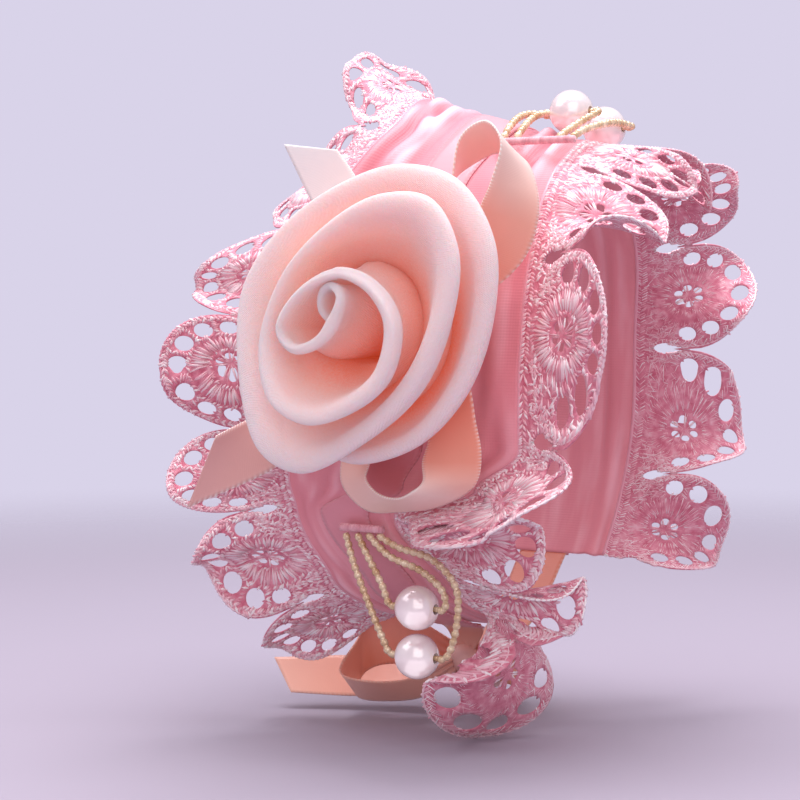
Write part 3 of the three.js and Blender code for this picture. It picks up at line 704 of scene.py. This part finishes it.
def fan_threads(random, stretch):
    """Flat threads of one fan, as groups of lines and radii, with more of them on a stretched fan."""
    turns = np.linspace(-BORDER_TURN, BORDER_TURN, BORDER_POINTS)
    border = np.concatenate([polar(BORDER_RADIUS, turns), np.zeros((BORDER_POINTS, 1))], axis=-1)
    groups = [
        (border[None], np.tile([0.16, 0.3], BORDER_POINTS // 2)[None]),
        whipped(random, BORDER_ROWS[0], BORDER_TURN, round(70 * stretch), 0.42, 0.31, -0.9),
        whipped(random, BORDER_ROWS[1], BORDER_TURN, round(66 * stretch), 0.48, 0.31, 0.9),
        whipped(random, WINDOW_RING, 180, round(60 * stretch), 0.45, 0.25),
        whipped(random, ROSETTE_RING, 180, 30, 0.34, 0.23),
    ]
    for bridge in range(WINDOWS + 1):
        middle = (bridge - WINDOWS / 2) * WINDOW_STEP
        radius = np.linspace(*BRIDGE, BRIDGE_STITCHES) + random.normal(0, 0.08, BRIDGE_STITCHES)
        spread = np.degrees(random.uniform(0.35, 0.6, BRIDGE_STITCHES) / radius)
        spread *= random.choice([-1, 1], BRIDGE_STITCHES)
        starts = polar(radius - 0.25, middle - spread)
        groups.append(stitches(starts, polar(radius + 0.35, middle + spread), 0.27, 0.1))
    spokes = round(SPOKES * stretch)
    turn = np.arange(spokes) * 360 / spokes
    bundle = np.round(turn / SPOKE_BUNDLE) * SPOKE_BUNDLE
    inner = bundle + 0.75 * (turn - bundle) + random.normal(0, 2, spokes)
    starts = polar(SUNBURST[0] + random.normal(0, 0.35, spokes), inner)
    ends = polar(SUNBURST[1] + random.normal(0, 0.3, spokes), turn + random.normal(0, 2.2, spokes))
    groups.append(stitches(starts, ends, 0.27, 0.16))
    count = FLOWER_STITCHES
    flower = np.arange(count) * 360 / count + random.normal(0, 8, count)
    starts = polar(random.uniform(0.1, 0.9, count), flower)
    ends = polar(random.uniform(2.8, 3.5, count), flower + random.normal(0, 16, count))
    groups.append(stitches(starts, ends, 0.2, 0.05))
    for reach, slant in SEAM_ROWS:
        seam = np.stack([np.linspace(-12.9, 12.9, SEAM_STITCHES), np.full(SEAM_STITCHES, reach)], axis=-1)
        seam += random.normal(0, 0.1, seam.shape)
        groups.append(stitches(seam - [slant, 0.5], seam + [slant, 0.5], 0.29, 0.1))
    net = random.uniform((-HALF_FAN, 2), (HALF_FAN, 14), (round(NET_TRIES * stretch), 2))
    from_middle = np.hypot(net[:, 0], net[:, 1] - ROSETTE)
    from_hole = np.hypot((HALF_FAN - np.abs(net[:, 0])) / (TEARDROP[0] + 0.5),
                         (net[:, 1] - TEARDROP_PLACE) / (TEARDROP[1] + 0.5))
    from_window = np.linalg.norm(net[:, None] - window_middles, axis=2).min(axis=1)
    keep = (from_middle > 8.1) & (from_hole > 1) & (from_window > WINDOW_RADIUS + 0.7)
    keep &= (net[:, 1] < ROSETTE) | (from_middle < 10.5)
    net = net[keep][:round(NET_STITCHES * stretch)]
    slant = random.normal(0, 0.8, len(net))
    reach = np.stack([np.sin(slant), np.cos(slant)], axis=-1)
    reach *= random.uniform(0.45, 0.95, len(net))[:, None]
    groups.append(stitches(net - reach, net + reach, 0.25, 0.1))
    turn = np.linspace(-0.5, 0.5, TEARDROP_STITCHES) * np.pi
    for side in (-1, 1):
        outward = np.stack([-side * np.cos(turn), np.sin(turn)], axis=-1)
        rim = outward * TEARDROP + [side * HALF_FAN, TEARDROP_PLACE]
        groups.append(stitches(rim, rim + outward + [0, 0.35], 0.27, 0.06))
    return groups


def fan_ground(columns, rows):
    """Flat grid of one fan with its holes left open: points, and faces that are kept."""
    across, share = np.meshgrid(np.linspace(0, 1, columns + 1), np.linspace(0, 1, rows + 1), indexing="ij")
    width = LACE_WIDTH - 0.5 - FAN_RADIUS * (1 - np.sqrt(np.maximum(1 - (2 * across - 1) ** 2, 0)))
    reach = -LACE_UNDER + (width + LACE_UNDER) * share
    points = np.stack([(across - 0.5) * FAN_PITCH, reach], axis=-1).reshape(-1, 2)
    holes = [(middle, (WINDOW_RADIUS, WINDOW_RADIUS)) for middle in window_middles]
    holes += [(polar(2.05, 360 / FLOWER_HOLES * k + 20), (0.8, 0.8)) for k in range(FLOWER_HOLES)]
    holes += [(np.array([side * HALF_FAN, TEARDROP_PLACE]), TEARDROP) for side in (-1, 1)]
    at = np.arange(len(points)).reshape(columns + 1, rows + 1)
    faces = np.stack([at[:-1, :-1], at[1:, :-1], at[1:, 1:], at[:-1, 1:]], axis=-1).reshape(-1, 4)
    kept = np.ones(len(faces), bool)
    for middle, radii in holes:
        away = (points - middle) / radii
        distance = np.linalg.norm(away, axis=1)
        kept &= np.linalg.norm(away[faces].mean(axis=1), axis=1) > 1
        near = np.abs(distance - 1) < 0.36 / min(radii)
        near &= (np.abs(points[:, 0]) < HALF_FAN - 0.01) & (points[:, 1] > 0.01)
        points[near] = middle + away[near] / distance[near, None] * radii
    return points, faces[kept]


lace_silk = Finish("lace_silk", Roughness=0.3, Sheen_Weight=0.5, Sheen_Roughness=0.3,
                   Sheen_Tint=tint("FFF0F6"), Specular_IOR_Level=0.65)
lace_silk.paint(lace_silk.attribute("tone"), (0.0, "E08FA2"), (0.5, "F4C3CE"), (1.0, "FFF7F9"))
lace_silk.bump(lace_silk.noise(2600, 2), 0.35, 0.08)

# The net ground is part of the lace; its deep rose colour is painted shade for the gaps between the
# stitches.
lace_net = Finish("lace_net", Roughness=0.7, Sheen_Weight=0.3)
net_tone = lace_net.noise(700, 4)
lace_net.paint(net_tone, (0.3, "C9627C"), (0.55, "DE8A9E"), (0.75, "EFBAC6"))
lace_net.bump(net_tone, 0.8, 0.3)

LACES = {"left": (LEFT_RUFFLE, LEFT_JOINS, -1), "right": (RIGHT_RUFFLE, RIGHT_JOINS, 1)}
flat_ground, flat_faces = fan_ground(56, 40)
flat_border = polar(BORDER_RADIUS, np.linspace(-BORDER_TURN, BORDER_TURN, BORDER_POINTS // 2))
flat_length = BORDER_RADIUS * np.radians(2 * BORDER_TURN)
for lace, (stations, joins, side) in LACES.items():
    fans = len(joins) - 1
    ground_parts = []
    thread_parts = []
    thread_tones = []
    random = np.random.default_rng(11 + fans)
    for ends in zip(joins, joins[1:]):
        place, _ = lace_place(stations, side, ends, flat_ground)
        ground_parts.append((place, flat_faces[:, ::side].tolist()))
        place, _ = lace_place(stations, side, ends, flat_border)
        stretch = lengths_along(place)[-1] / flat_length
        for lines, radii in fan_threads(random, max(stretch, 1)):
            lines[..., 1] = np.maximum(lines[..., 1], -THREAD_UNDER)
            place, outward = lace_place(stations, side, ends, lines, lines[..., 2])
            thread_parts.append(tubes(place, outward, radii, THREAD_SIDES))
            tone = np.clip(random.normal(*THREAD_TONE, len(lines)), 0, 1)
            thread_tones.append(np.repeat(tone, lines.shape[1] * THREAD_SIDES))
    header_angles = np.linspace(STRIP_START + LACE_INSET, STRIP_END - LACE_INSET, HEADER_POINTS)
    line = ruffle_place(stations, side, header_angles, np.full(HEADER_POINTS, -0.35))
    _, _, outward = oval_frame(header_angles)
    thread_parts.append(tubes(line[None], outward[None], np.full((1, HEADER_POINTS), 0.34), HEADER_SIDES))
    thread_tones.append(np.full(HEADER_POINTS * HEADER_SIDES, HEADER_TONE))
    ground = mesh_piece("lace_ground_" + lace, *join_parts(ground_parts))
    take_up(ground)
    with editing():
        bpy.ops.mesh.remove_doubles(threshold=GROUND_WELD * MM)
        bpy.ops.mesh.delete_loose()
    thicken(ground, GROUND_THICKNESS)
    dress(ground, lace_net, "cuff", "lace", "lace_" + lace)
    threads = mesh_piece("lace_stitches_" + lace, *join_parts(thread_parts))
    add_values(threads, "tone", np.concatenate(thread_tones))
    dress(threads, lace_silk, "cuff", "lace")

# Felt disc: a round of wool felt between the strip and the flower.
# The bow and the rose are sewn to it, and it is sewn to the middle ribbon.
FELT_BEVEL = 0.3
felt_low, felt_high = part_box("felt_backing")
bpy.ops.mesh.primitive_cylinder_add(vertices=72, radius=(felt_high.x - felt_low.x) / 2,
                                    depth=felt_high.y - felt_low.y, location=(felt_low + felt_high) / 2,
                                    rotation=(np.pi / 2, 0, 0))
felt = bpy.context.object
felt.name = "felt_disc"
bpy.ops.object.transform_apply(location=True, rotation=True, scale=True)
with editing():
    bpy.ops.mesh.bevel(offset=FELT_BEVEL * MM, segments=3)
bpy.ops.object.shade_smooth_by_angle(angle=np.radians(40))
wool_felt = Finish("wool_felt", Roughness=0.95, Sheen_Weight=0.4)
felt_tone = wool_felt.noise(1400, 5)
wool_felt.paint(felt_tone, (0.3, "D9705A"), (0.7, "EE9C86"))
wool_felt.bump(felt_tone, 0.6, 0.2)
dress(felt, wool_felt, "cuff", "felt", "felt_backing")

# Bow behind the rose: two loops and two tails of the satin ribbon under one knot.
# Each is gathered where it leaves the knot; the tails are cut at a slant.
ROSE_X, ROSE_Z = 3, 9
BOW_FACE = 31.5
RIBBON_SAMPLES = 400
PLEAT_HEIGHT = 0.4
CREASE_DEPTH = 0.1
# Darker stitching on the ties than on the bow: painted shade.
TIE_SHADED_STITCHING = "F3BEAA"


def on_front(x, out, z):
    return (ROSE_X + x, -BOW_FACE - out, ROSE_Z + z)


def ribbon_surface(rows):
    """Ribbon through rows of centre, half width direction and share of the full width."""
    centres, directions, shares = (np.array(column, float) for column in zip(*rows))
    half = unit(directions) * shares[:, None] * SATIN_WIDTH / 2
    fine = np.linspace(0, 1, RIBBON_SAMPLES)
    left = smooth_curve(centres - half, fine)
    right = smooth_curve(centres + half, fine)
    middle = (left + right) / 2
    lengths = lengths_along(middle)
    width = np.linalg.norm(right - left, axis=1)
    gathered = np.clip(2 - 3.2 * width / SATIN_WIDTH, 0, 1)

    def place(u, v):
        at = u * (RIBBON_SAMPLES - 1)
        low = np.minimum(at.astype(int), RIBBON_SAMPLES - 2)
        rest = (at - low)[:, None]
        near = left[low] + (left[low + 1] - left[low]) * rest
        far = right[low] + (right[low + 1] - right[low]) * rest
        normal = unit(np.cross(middle[low + 1] - middle[low], far - near))
        pleats = PLEAT_HEIGHT * gathered[low] * np.cos(v * 6 * np.pi + 1)
        return near + (far - near) * v[:, None] + normal * pleats[:, None]

    return place, lengths[-1], np.trapz(width, lengths)


def satin_ribbon(name, node, place_of, rows, tones):
    """A length of the satin ribbon, with its finish and its place on the cuff."""
    rows = [(place_of(*centre), direction, share) for centre, direction, share in rows]
    place, length, area = ribbon_surface(rows)
    piece = grid_piece(name, 24 * (len(rows) - 1), 14, place)
    thicken(piece, SATIN_THICKNESS)
    tied = node.startswith("tie")
    stitching = TIE_SHADED_STITCHING if tied else PALE_STITCHING
    dress(piece, satin_finish(name + "_satin", length, *tones, stitching=stitching), "cuff", "satin", node)
    flat = (SATIN_WIDTH * MM, max(area / SATIN_WIDTH, 10) * MM)


def satin_knot(name, node, wraps):
    """A knot: the ribbon pulled tight round itself, with creases that run round it."""
    low, high = (np.array(corner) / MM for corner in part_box(node))
    middle, half = (low + high) / 2, (high - low) / 2

    def place(u, v):
        turn, rise = 2 * np.pi * u, np.pi * (v - 0.5)
        crease = 1 - CREASE_DEPTH * np.cos(rise) * (0.5 + 0.5 * np.cos(wraps * turn + 3 * rise)) ** 2
        ball = np.stack([np.sin(rise), np.cos(rise) * np.cos(turn), np.cos(rise) * np.sin(turn)], axis=1)
        return middle + half * ball * crease[:, None]

    piece = grid_piece(name, 96, 40, place)
    weld()
    dress(piece, satin_finish(name + "_satin", 60, "F4B5A6", "F8C8BC", "F1AA9A"), "cuff", "satin", node)


satin_knot("bow_centre_knot", "bow_knot", 5)
# Paler over the top of the loop and deeper towards both ends at the knot: painted light and painted shade.
satin_ribbon("bow_upper_loop", "bow_loop_upper", on_front, [
    ((3.2, 1.1, 4.2), (-0.8, 0, 0.6), 0.35),
    ((6.8, 1, 13), (-0.8, 0.2, 0.3), 0.6),
    ((9.6, 0, 23), (-0.52, 0.85, 0.04), 0.9),
    ((13.1, 0.8, 28), (-0.25, 0.85, -0.46), 0.9),
    ((18.1, 1.2, 29.9), (-0.2, 0.82, -0.5), 0.92),
    ((21.9, 1.2, 27.6), (-0.05, 0.94, -0.31), 0.92),
    ((22.4, 1.5, 21.9), (0.42, 0.89, -0.16), 0.92),
    ((21.4, 1.4, 17.5), (0.66, 0.71, -0.24), 1),
    ((18.4, 0.9, 11.5), (0.8, 0.5, -0.3), 1),
    ((12, 0.9, 5), (0.5, 0.2, -0.8), 0.6),
    ((5.2, 1.1, 1.2), (0, 0, -1), 0.3),
], ("F4B5A4", "F9CFC2", "FBDCD1", "F0AC98", "EB9E8A"))
# Deep coral where it leaves the knot under the rose, a cream band across the bend and deeper again at its
# far end: painted shade and a painted highlight.
satin_ribbon("bow_lower_loop", "bow_loop_lower", on_front, [
    ((4.4, 1.1, -3), (0.5, 0, 0.85), 0.3),
    ((9.6, 1.2, -11), (0.8, 0.2, 0.5), 0.7),
    ((10.9, 2, -18.6), (0.86, 0.38, 0.34), 0.85),
    ((11.1, 2.5, -23.1), (0.91, 0.4, 0.12), 1),
    ((10.8, 2.8, -27), (0.86, 0.51, -0.02), 0.9),
    ((6, 2.4, -30.1), (0.28, 0.9, -0.34), 0.75),
    ((0.3, 2.1, -31.4), (-0.45, 0.81, -0.37), 0.8),
    ((-5.2, 2, -31.1), (-0.67, 0.62, -0.4), 0.9),
    ((-8.8, 2, -27.9), (-0.84, 0.5, -0.21), 0.95),
    ((-8.6, 1.9, -24.5), (-0.92, 0.38, 0.02), 0.85),
    ((-5.4, 1.2, -13), (-0.9, 0.2, 0.1), 0.6),
    ((-1, 1.1, -4.6), (-1, 0, 0.1), 0.3),
], ("EC8C74", "EF9A82", "FFE8DC", "F9D3C4", "F7C6B4", "EC947C"))
# Near white along its length: painted light from above.
satin_ribbon("bow_upper_tail", "bow_tail_upper", on_front, [
    ((-3, 1.1, 4.6), (0.8, 0, 0.6), 0.35),
    ((-8.5, 0.6, 13), (0.85, 0, 0.5), 0.8),
    ((-14, 0.4, 22), (0.9, 0, 0.35), 1),
    ((-17.8, 2, 29.4), (1, 0.1, -0.12), 1.05),
], ("FDEFEB", "FFF8F6", "FFFCFB"))
# Deeper tones than the upper tail: painted shade.
satin_ribbon("bow_lower_tail", "bow_tail_lower", on_front, [
    ((-5, 1.1, -1), (-0.2, 0, 1), 0.35),
    ((-13, 0.6, -8), (-0.5, 0, 0.85), 0.8),
    ((-24, 3.6, -20), (-0.5, 0, 0.87), 1),
    ((-36, 9.5, -27), (0.45, 0, 0.9), 1.45),
], ("EAA08E", "E6ADA1", "DFA6A0"))

# Rose: one bias strip of chiffon, folded lengthwise and rolled outwards from a bud in a spiral.
# The fold is the soft round rim of every petal, and the raw edges are sewn to the felt.
ROSE_SEAT = 34.1
ROSE_BUD_END = 9
BUD_TAPER = 0.85
THIN_FOLD, BUD_FOLD, OUTER_FOLD = 0.6, 1.3, 2.1
WALL_HALF = 0.5
ROOT_HALF = 2.5
ROSE_RIM = np.array([
    [-0.4, -0.6, 18.4], [-2.3, 1.8, 19], [-1.7, 4.7, 19.6], [0.4, 5.8, 20], [2.6, 4, 20.5],
    [-1, -2.8, 20.5], [-7, -4.8, 20.5], [-9.9, -1.6, 20.5], [-6.2, 4.2, 20.5], [1.6, 7.8, 20.5],
    [9, 5.6, 20.4], [13.2, -0.2, 20.2], [11.4, -9, 20], [4.8, -14.4, 19.8], [-4.4, -17, 19.5],
    [-12.2, -13.4, 19.2], [-14.4, -4, 19], [-9.8, 7.6, 18.7], [-0.6, 16, 18.4],
    [9.2, 20.2, 18.2], [18.4, 19.2, 17.6], [22.8, 10.8, 17], [21, 0.4, 16.5], [14.6, -10.8, 16],
    [3, -20.4, 15.5], [-8.8, -25.4, 15], [-17.8, -22, 14.6], [-22.2, -9.6, 14.2], [-21.8, 5.2, 13.6],
    [-14.4, 15.2, 13], [-2.4, 22.4, 12.5],
    [9.2, 25.2, 12], [19.8, 22.2, 11.5], [25.8, 12.4, 11], [25, 0.6, 10.2], [19.8, -11.2, 9.5],
    [10.2, -20.4, 8.8], [-1.4, -24, 8.4], [-9, -22.8, 6.6], [-14, -19.6, 5],
])
ROSE_ROOTS = [(0, 7.6), (9, 7.6), (18, 11), (30, 14), (37, 16.5)]
RIM_SAMPLES = 700
ROUND_FROM = 0.86
THICK_SIDE = 0.5
PUFF_FROM, PUFF_GROWTH = 0.6, 0.32
END_SHARE, END_THICKNESS = 0.004, 0.15
PETAL_SHADE, SHADE_SIDE = 0.32, 40
TWILL_PITCH = 0.34

rim_places, rim_shares, rim_length = even_curve(ROSE_RIM, RIM_SAMPLES)
rim_index = rim_shares * (len(ROSE_RIM) - 1)
rim_radius = np.hypot(rim_places[:, 0], rim_places[:, 1])
root_radius = np.interp(rim_index, *zip(*ROSE_ROOTS))
root_share = np.where(rim_index < ROSE_BUD_END, BUD_TAPER, root_radius / np.maximum(rim_radius, 1))
along_rim = np.linspace(0, 1, RIM_SAMPLES)


def petal_middle(u, v):
    """Middle of the folded strip, u along the spiral and v from the root to the rim."""
    x, z, rise = (np.interp(u, along_rim, rim_places[:, k]) for k in range(3))
    share = np.interp(u, along_rim, root_share)
    spread = share + (1 - share) * v * v
    out = rise * (1 - (1 - v) ** 1.5)
    return np.stack([ROSE_X + x * spread, -ROSE_SEAT - out, ROSE_Z + z * spread], axis=1)


def round_rose(u, v):
    """Angle of the folded strip round the rose, from its right side upwards."""
    middle = petal_middle(u, v)
    return np.arctan2(middle[:, 2] - ROSE_Z, middle[:, 0] - ROSE_X)


def petal_height(profile):
    """Share of the strip's height, up one side of the fold and down the other."""
    return 1 - np.abs(2 * profile - 1) ** 1.6


def petal_surface(u, profile):
    v = petal_height(profile)
    step = 1e-3
    low_u, high_u = np.maximum(u - step, 0), np.minimum(u + step, 1)
    low_v, high_v = np.maximum(v - step, 0), np.minimum(v + step, 1)
    normal = unit(np.cross(petal_middle(high_u, v) - petal_middle(low_u, v),
                           petal_middle(u, high_v) - petal_middle(u, low_v)))
    facing = round_rose(u, np.ones_like(u)) + THICK_SIDE
    thick = BUD_FOLD + (OUTER_FOLD - BUD_FOLD) * np.clip(u / 0.5, 0, 1)
    fold_half = THIN_FOLD + (thick - THIN_FOLD) * (0.5 + 0.5 * np.cos(facing)) * np.clip(u / 0.05, 0, 1)
    rolled = np.clip(v / ROUND_FROM, 0, 1) ** 7
    puffed = eased((PUFF_FROM - v) / PUFF_GROWTH)
    bulge = WALL_HALF + (fold_half - WALL_HALF) * rolled + (ROOT_HALF - WALL_HALF) * puffed
    rounded = np.sqrt(np.clip(1 - (np.maximum(v - ROUND_FROM, 0) / (1 - ROUND_FROM)) ** 2, 0, 1))
    ends = np.sqrt(np.clip(np.minimum(u, 1 - u) / END_SHARE, 0, 1))
    offset = np.sign(profile - 0.5) * bulge * rounded * np.maximum(ends, END_THICKNESS)
    return petal_middle(u, v) + normal * offset[:, None]


def petal_shade_height(u, profile):
    """Height for the finish, taken lower on the inner walls that lie in shade."""
    v = petal_height(profile)
    shaded = 0.5 + 0.5 * np.cos(round_rose(u, v) + np.radians(SHADE_SIDE))
    return v - PETAL_SHADE * np.where(profile > 0.5, shaded, 0) * (1 - v ** 4)


# The rose's orange emission, strongest low in the petals, is painted light that stands for a glow through
# the silk.
chiffon = Finish("rose_chiffon", Roughness=0.6, Sheen_Weight=0.5, Sheen_Roughness=0.4,
                 Sheen_Tint=tint("FFF0F4"), Subsurface_Weight=0.7, Subsurface_Scale=0.006,
                 Subsurface_Radius=(1.0, 0.45, 0.35), Emission_Strength=0.17)
# Colour runs from deep orange low in the petals to pale at the rims, deeper still on the inner walls in
# shade: painted shade.
height = chiffon.attribute("height")
mottle = chiffon.noise(55, 3)
crepe = chiffon.noise(2600, 3)
depth = height + 0.1 * mottle + 0.3 * crepe - 0.2
chiffon.paint(depth, (0.12, "EE8668"), (0.34, "F4B6A8"), (0.56, "F6CAC4"), (0.92, "F8DDDE"))
chiffon.paint(depth, (0.1, "F3703F"), (0.36, "E09384"), (0.9, "8C7C82"), socket="Emission Color")
twill = (chiffon.along(0) * (rim_length / TWILL_PITCH * 2 * np.pi) + chiffon.along(1) * 420).wave()
chiffon.bump(0.3 * twill + 1.6 * crepe, 0.7, 0.17)

rose = grid_piece("rolled_rose", 520, 44, petal_surface, height=petal_shade_height)
with editing():
    bpy.ops.mesh.normals_make_consistent(inside=False)
dress(rose, chiffon, "cuff", "chiffon", "rose_bud", "rose_inner_wrap", "rose_middle_wrap", "rose_outer_wrap")

# Ties: both ends of the middle ribbon run on under the wrist and are tied in a small bow.
# The same satin: two short ends into the knot, two loops and two tails.
TIE = (-5, 2, -54)
TIE_TUCK = 1.5
# A deeper orange copy of the satin, deepest where each piece starts: painted shade on the ribbon that lies
# under the wrist.
TIE_SHADED_TONES = ("E78F76", "F1A68D", "F6BDA8")


def tie_at(x, y, z):
    return (TIE[0] + x, TIE[1] + y, TIE[2] + z)


def tie_start(degrees, onward):
    """Just inside an end of the middle ribbon, between ribbon and strip, as seen from the knot."""
    centre, tangent, normal = oval_frame(np.array([degrees]))
    return (centre + normal * RIBBON_LIFT / 2 - tangent * onward * TIE_TUCK)[0] - TIE


satin_knot("ties_knot", "tie_knot", 4)
satin_ribbon("tie_front_end", "tie_front", tie_at, [
    (tie_start(STRIP_START, -1), (1, 0, 0), 1),
    ((2, -3.4, 5.4), (1, -0.1, 0), 0.8),
    ((0.2, -0.4, 1.6), (1, 0, 0), 0.4),
], TIE_SHADED_TONES)
satin_ribbon("tie_back_end", "tie_back", tie_at, [
    (tie_start(STRIP_END, 1), (-1, 0, 0), 1),
    ((3.5, 10, 5.4), (-1, 0.1, 0), 0.9),
    ((1, 1.4, 0.9), (-1, 0.3, 0), 0.4),
], TIE_SHADED_TONES)
satin_ribbon("tie_left_loop", "tie_loop_left", tie_at, [
    ((-2.2, -0.4, 0.9), (0, 0, -1), 0.35),
    ((-9, -4.5, 3), (0, 0.15, -1), 0.9),
    ((-16, -6.5, 2.5), (0, 0.2, -1), 1),
    ((-19, -7, -1), (-0.2, 0.4, -0.9), 0.9),
    ((-18, -12, -5), (-0.1, 0.75, -0.6), 0.9),
    ((-11, -12.2, -5.6), (0, 0.8, -0.5), 0.9),
    ((-5.6, -8, -5), (0.1, 0.8, -0.5), 0.7),
    ((-1.4, -1.4, -1.2), (0.3, 0.6, -0.7), 0.3),
], TIE_SHADED_TONES)
satin_ribbon("tie_right_loop", "tie_loop_right", tie_at, [
    ((2.2, -0.4, 0.5), (0, 0, 1), 0.35),
    ((7.2, -2.4, 1.4), (0.1, 0, 1), 0.8),
    ((10.8, -1.8, 1), (0, 0.2, 1), 0.95),
    ((12.4, 1.4, 0), (0, 0.3, 1), 0.95),
    ((9, 4, -0.6), (0, 0.2, 1), 0.85),
    ((2.2, 1, 0), (0, 0, 1), 0.35),
], TIE_SHADED_TONES)
satin_ribbon("tie_left_tail", "tie_tail_left", tie_at, [
    ((-1, 0.5, -1.8), (0.3, 0.8, -0.3), 0.35),
    ((-9, 1.5, -5), (0.3, -0.8, -0.5), 0.8),
    ((-21, -2.4, -5.2), (0.3, -0.6, -0.7), 0.9),
    ((-34.6, -10, -5.2), (0.6, -0.2, -0.7), 0.8),
], TIE_SHADED_TONES)
satin_ribbon("tie_right_tail", "tie_tail_right", tie_at, [
    ((0.8, 1, -1.8), (-0.9, 0.2, -0.2), 0.35),
    ((2.6, 8, -5.2), (-0.9, 0.2, -0.3), 0.8),
    ((1.8, 15, -5.6), (-0.8, 0, -0.5), 0.9),
    ((-1.4, 22.4, -5), (-0.8, 0.35, -0.5), 1),
], TIE_SHADED_TONES)

# Floor: a wide pale sheet under the cuff that fades out into the backdrop.
# It keeps the cuff's soft shadow and has no edge to see.
FLOOR_Z = -65.2
FLOOR_FADE = (0.22, 0.5)
bpy.ops.mesh.primitive_circle_add(vertices=96, radius=FLOOR_FADE[1], fill_type="NGON")
floor = bpy.context.object
floor.name = "floor"
for vertex in floor.data.vertices:
    vertex.co.z = FLOOR_Z * MM
floor_paint = Finish("floor_paint", Roughness=0.8, Base_Color=tint("A59DAC"))
floor_place = floor_paint.node("TexCoord", {}, {}, "Object")
floor_distance = floor_paint.node("VectorMath", {"operation": "LENGTH"}, {0: floor_place}, "Value")
fade_range = {"Value": floor_distance, "From Min": FLOOR_FADE[0], "From Max": FLOOR_FADE[1]}
floor_fade = floor_paint.node("MapRange", {"interpolation_type": "SMOOTHSTEP"}, fade_range)
clear_floor = floor_paint.node("BsdfTransparent", {}, {})
floor_skin = Pattern(floor_paint.tree, floor_paint.shader.outputs[0])
faded = floor_paint.node("MixShader", {}, {0: floor_fade, 1: floor_skin, 2: clear_floor})
floor_paint.tree.links.new(faded.socket, floor_paint.tree.nodes["Material Output"].inputs["Surface"])
floor.data.materials.append(floor_paint.material)

# Light: a broad soft lamp above, weak ones from the left and the front right, a low one that only
# the pearls catch, and a pale surround, lavender where it is seen and near white as light.
world = bpy.data.worlds.new("surround")
bpy.context.scene.world = world
world.use_nodes = True
sky = Pattern(world.node_tree)
kinds = ("Is Camera Ray", "Is Glossy Ray", "Is Transmission Ray")
straight, mirrored, through = (sky.node("LightPath", {}, {}, kind) for kind in kinds)
seen = sky.node("Math", {"operation": "ADD", "use_clamp": True}, {0: straight + 0.6 * mirrored, 1: through})
ambient = sky.node("Background", {}, {"Color": tint("F8F2FF"), "Strength": 0.42})
shown = sky.node("Background", {}, {"Color": tint("D9D3E9"), "Strength": 1.0})
both = sky.node("MixShader", {}, {0: seen, 1: ambient, 2: shown})
sky.tree.links.new(both.socket, sky.tree.nodes["World Output"].inputs["Surface"])


def lamp(name, place, size, energy, colour):
    light = bpy.data.lights.new(name, "AREA")
    light.size = size
    light.energy = energy
    light.color = tint(colour)[:3]
    holder = add_object(name, light)
    holder.location = Vector(place) * MM
    holder.rotation_euler = (-holder.location).to_track_quat("-Z", "Y").to_euler()
    return holder


lamp("top_lamp", (30, 40, 540), 0.45, 4.9, "FFFBFF")
lamp("left_lamp", (-300, -260, 420), 0.4, 0.9, "FFFBFF")
lamp("front_lamp", (320, -420, 240), 0.5, 1.1, "FFF8F6")
low_lamp = lamp("low_lamp", (70, -130, -280), 0.6, 0.9, "FFFBFF")
low_lamp.light_linking.receiver_collection = pearl_group
low_lamp.light_linking.blocker_collection = pearl_group

bpy.context.scene.view_settings.view_transform = "Standard"
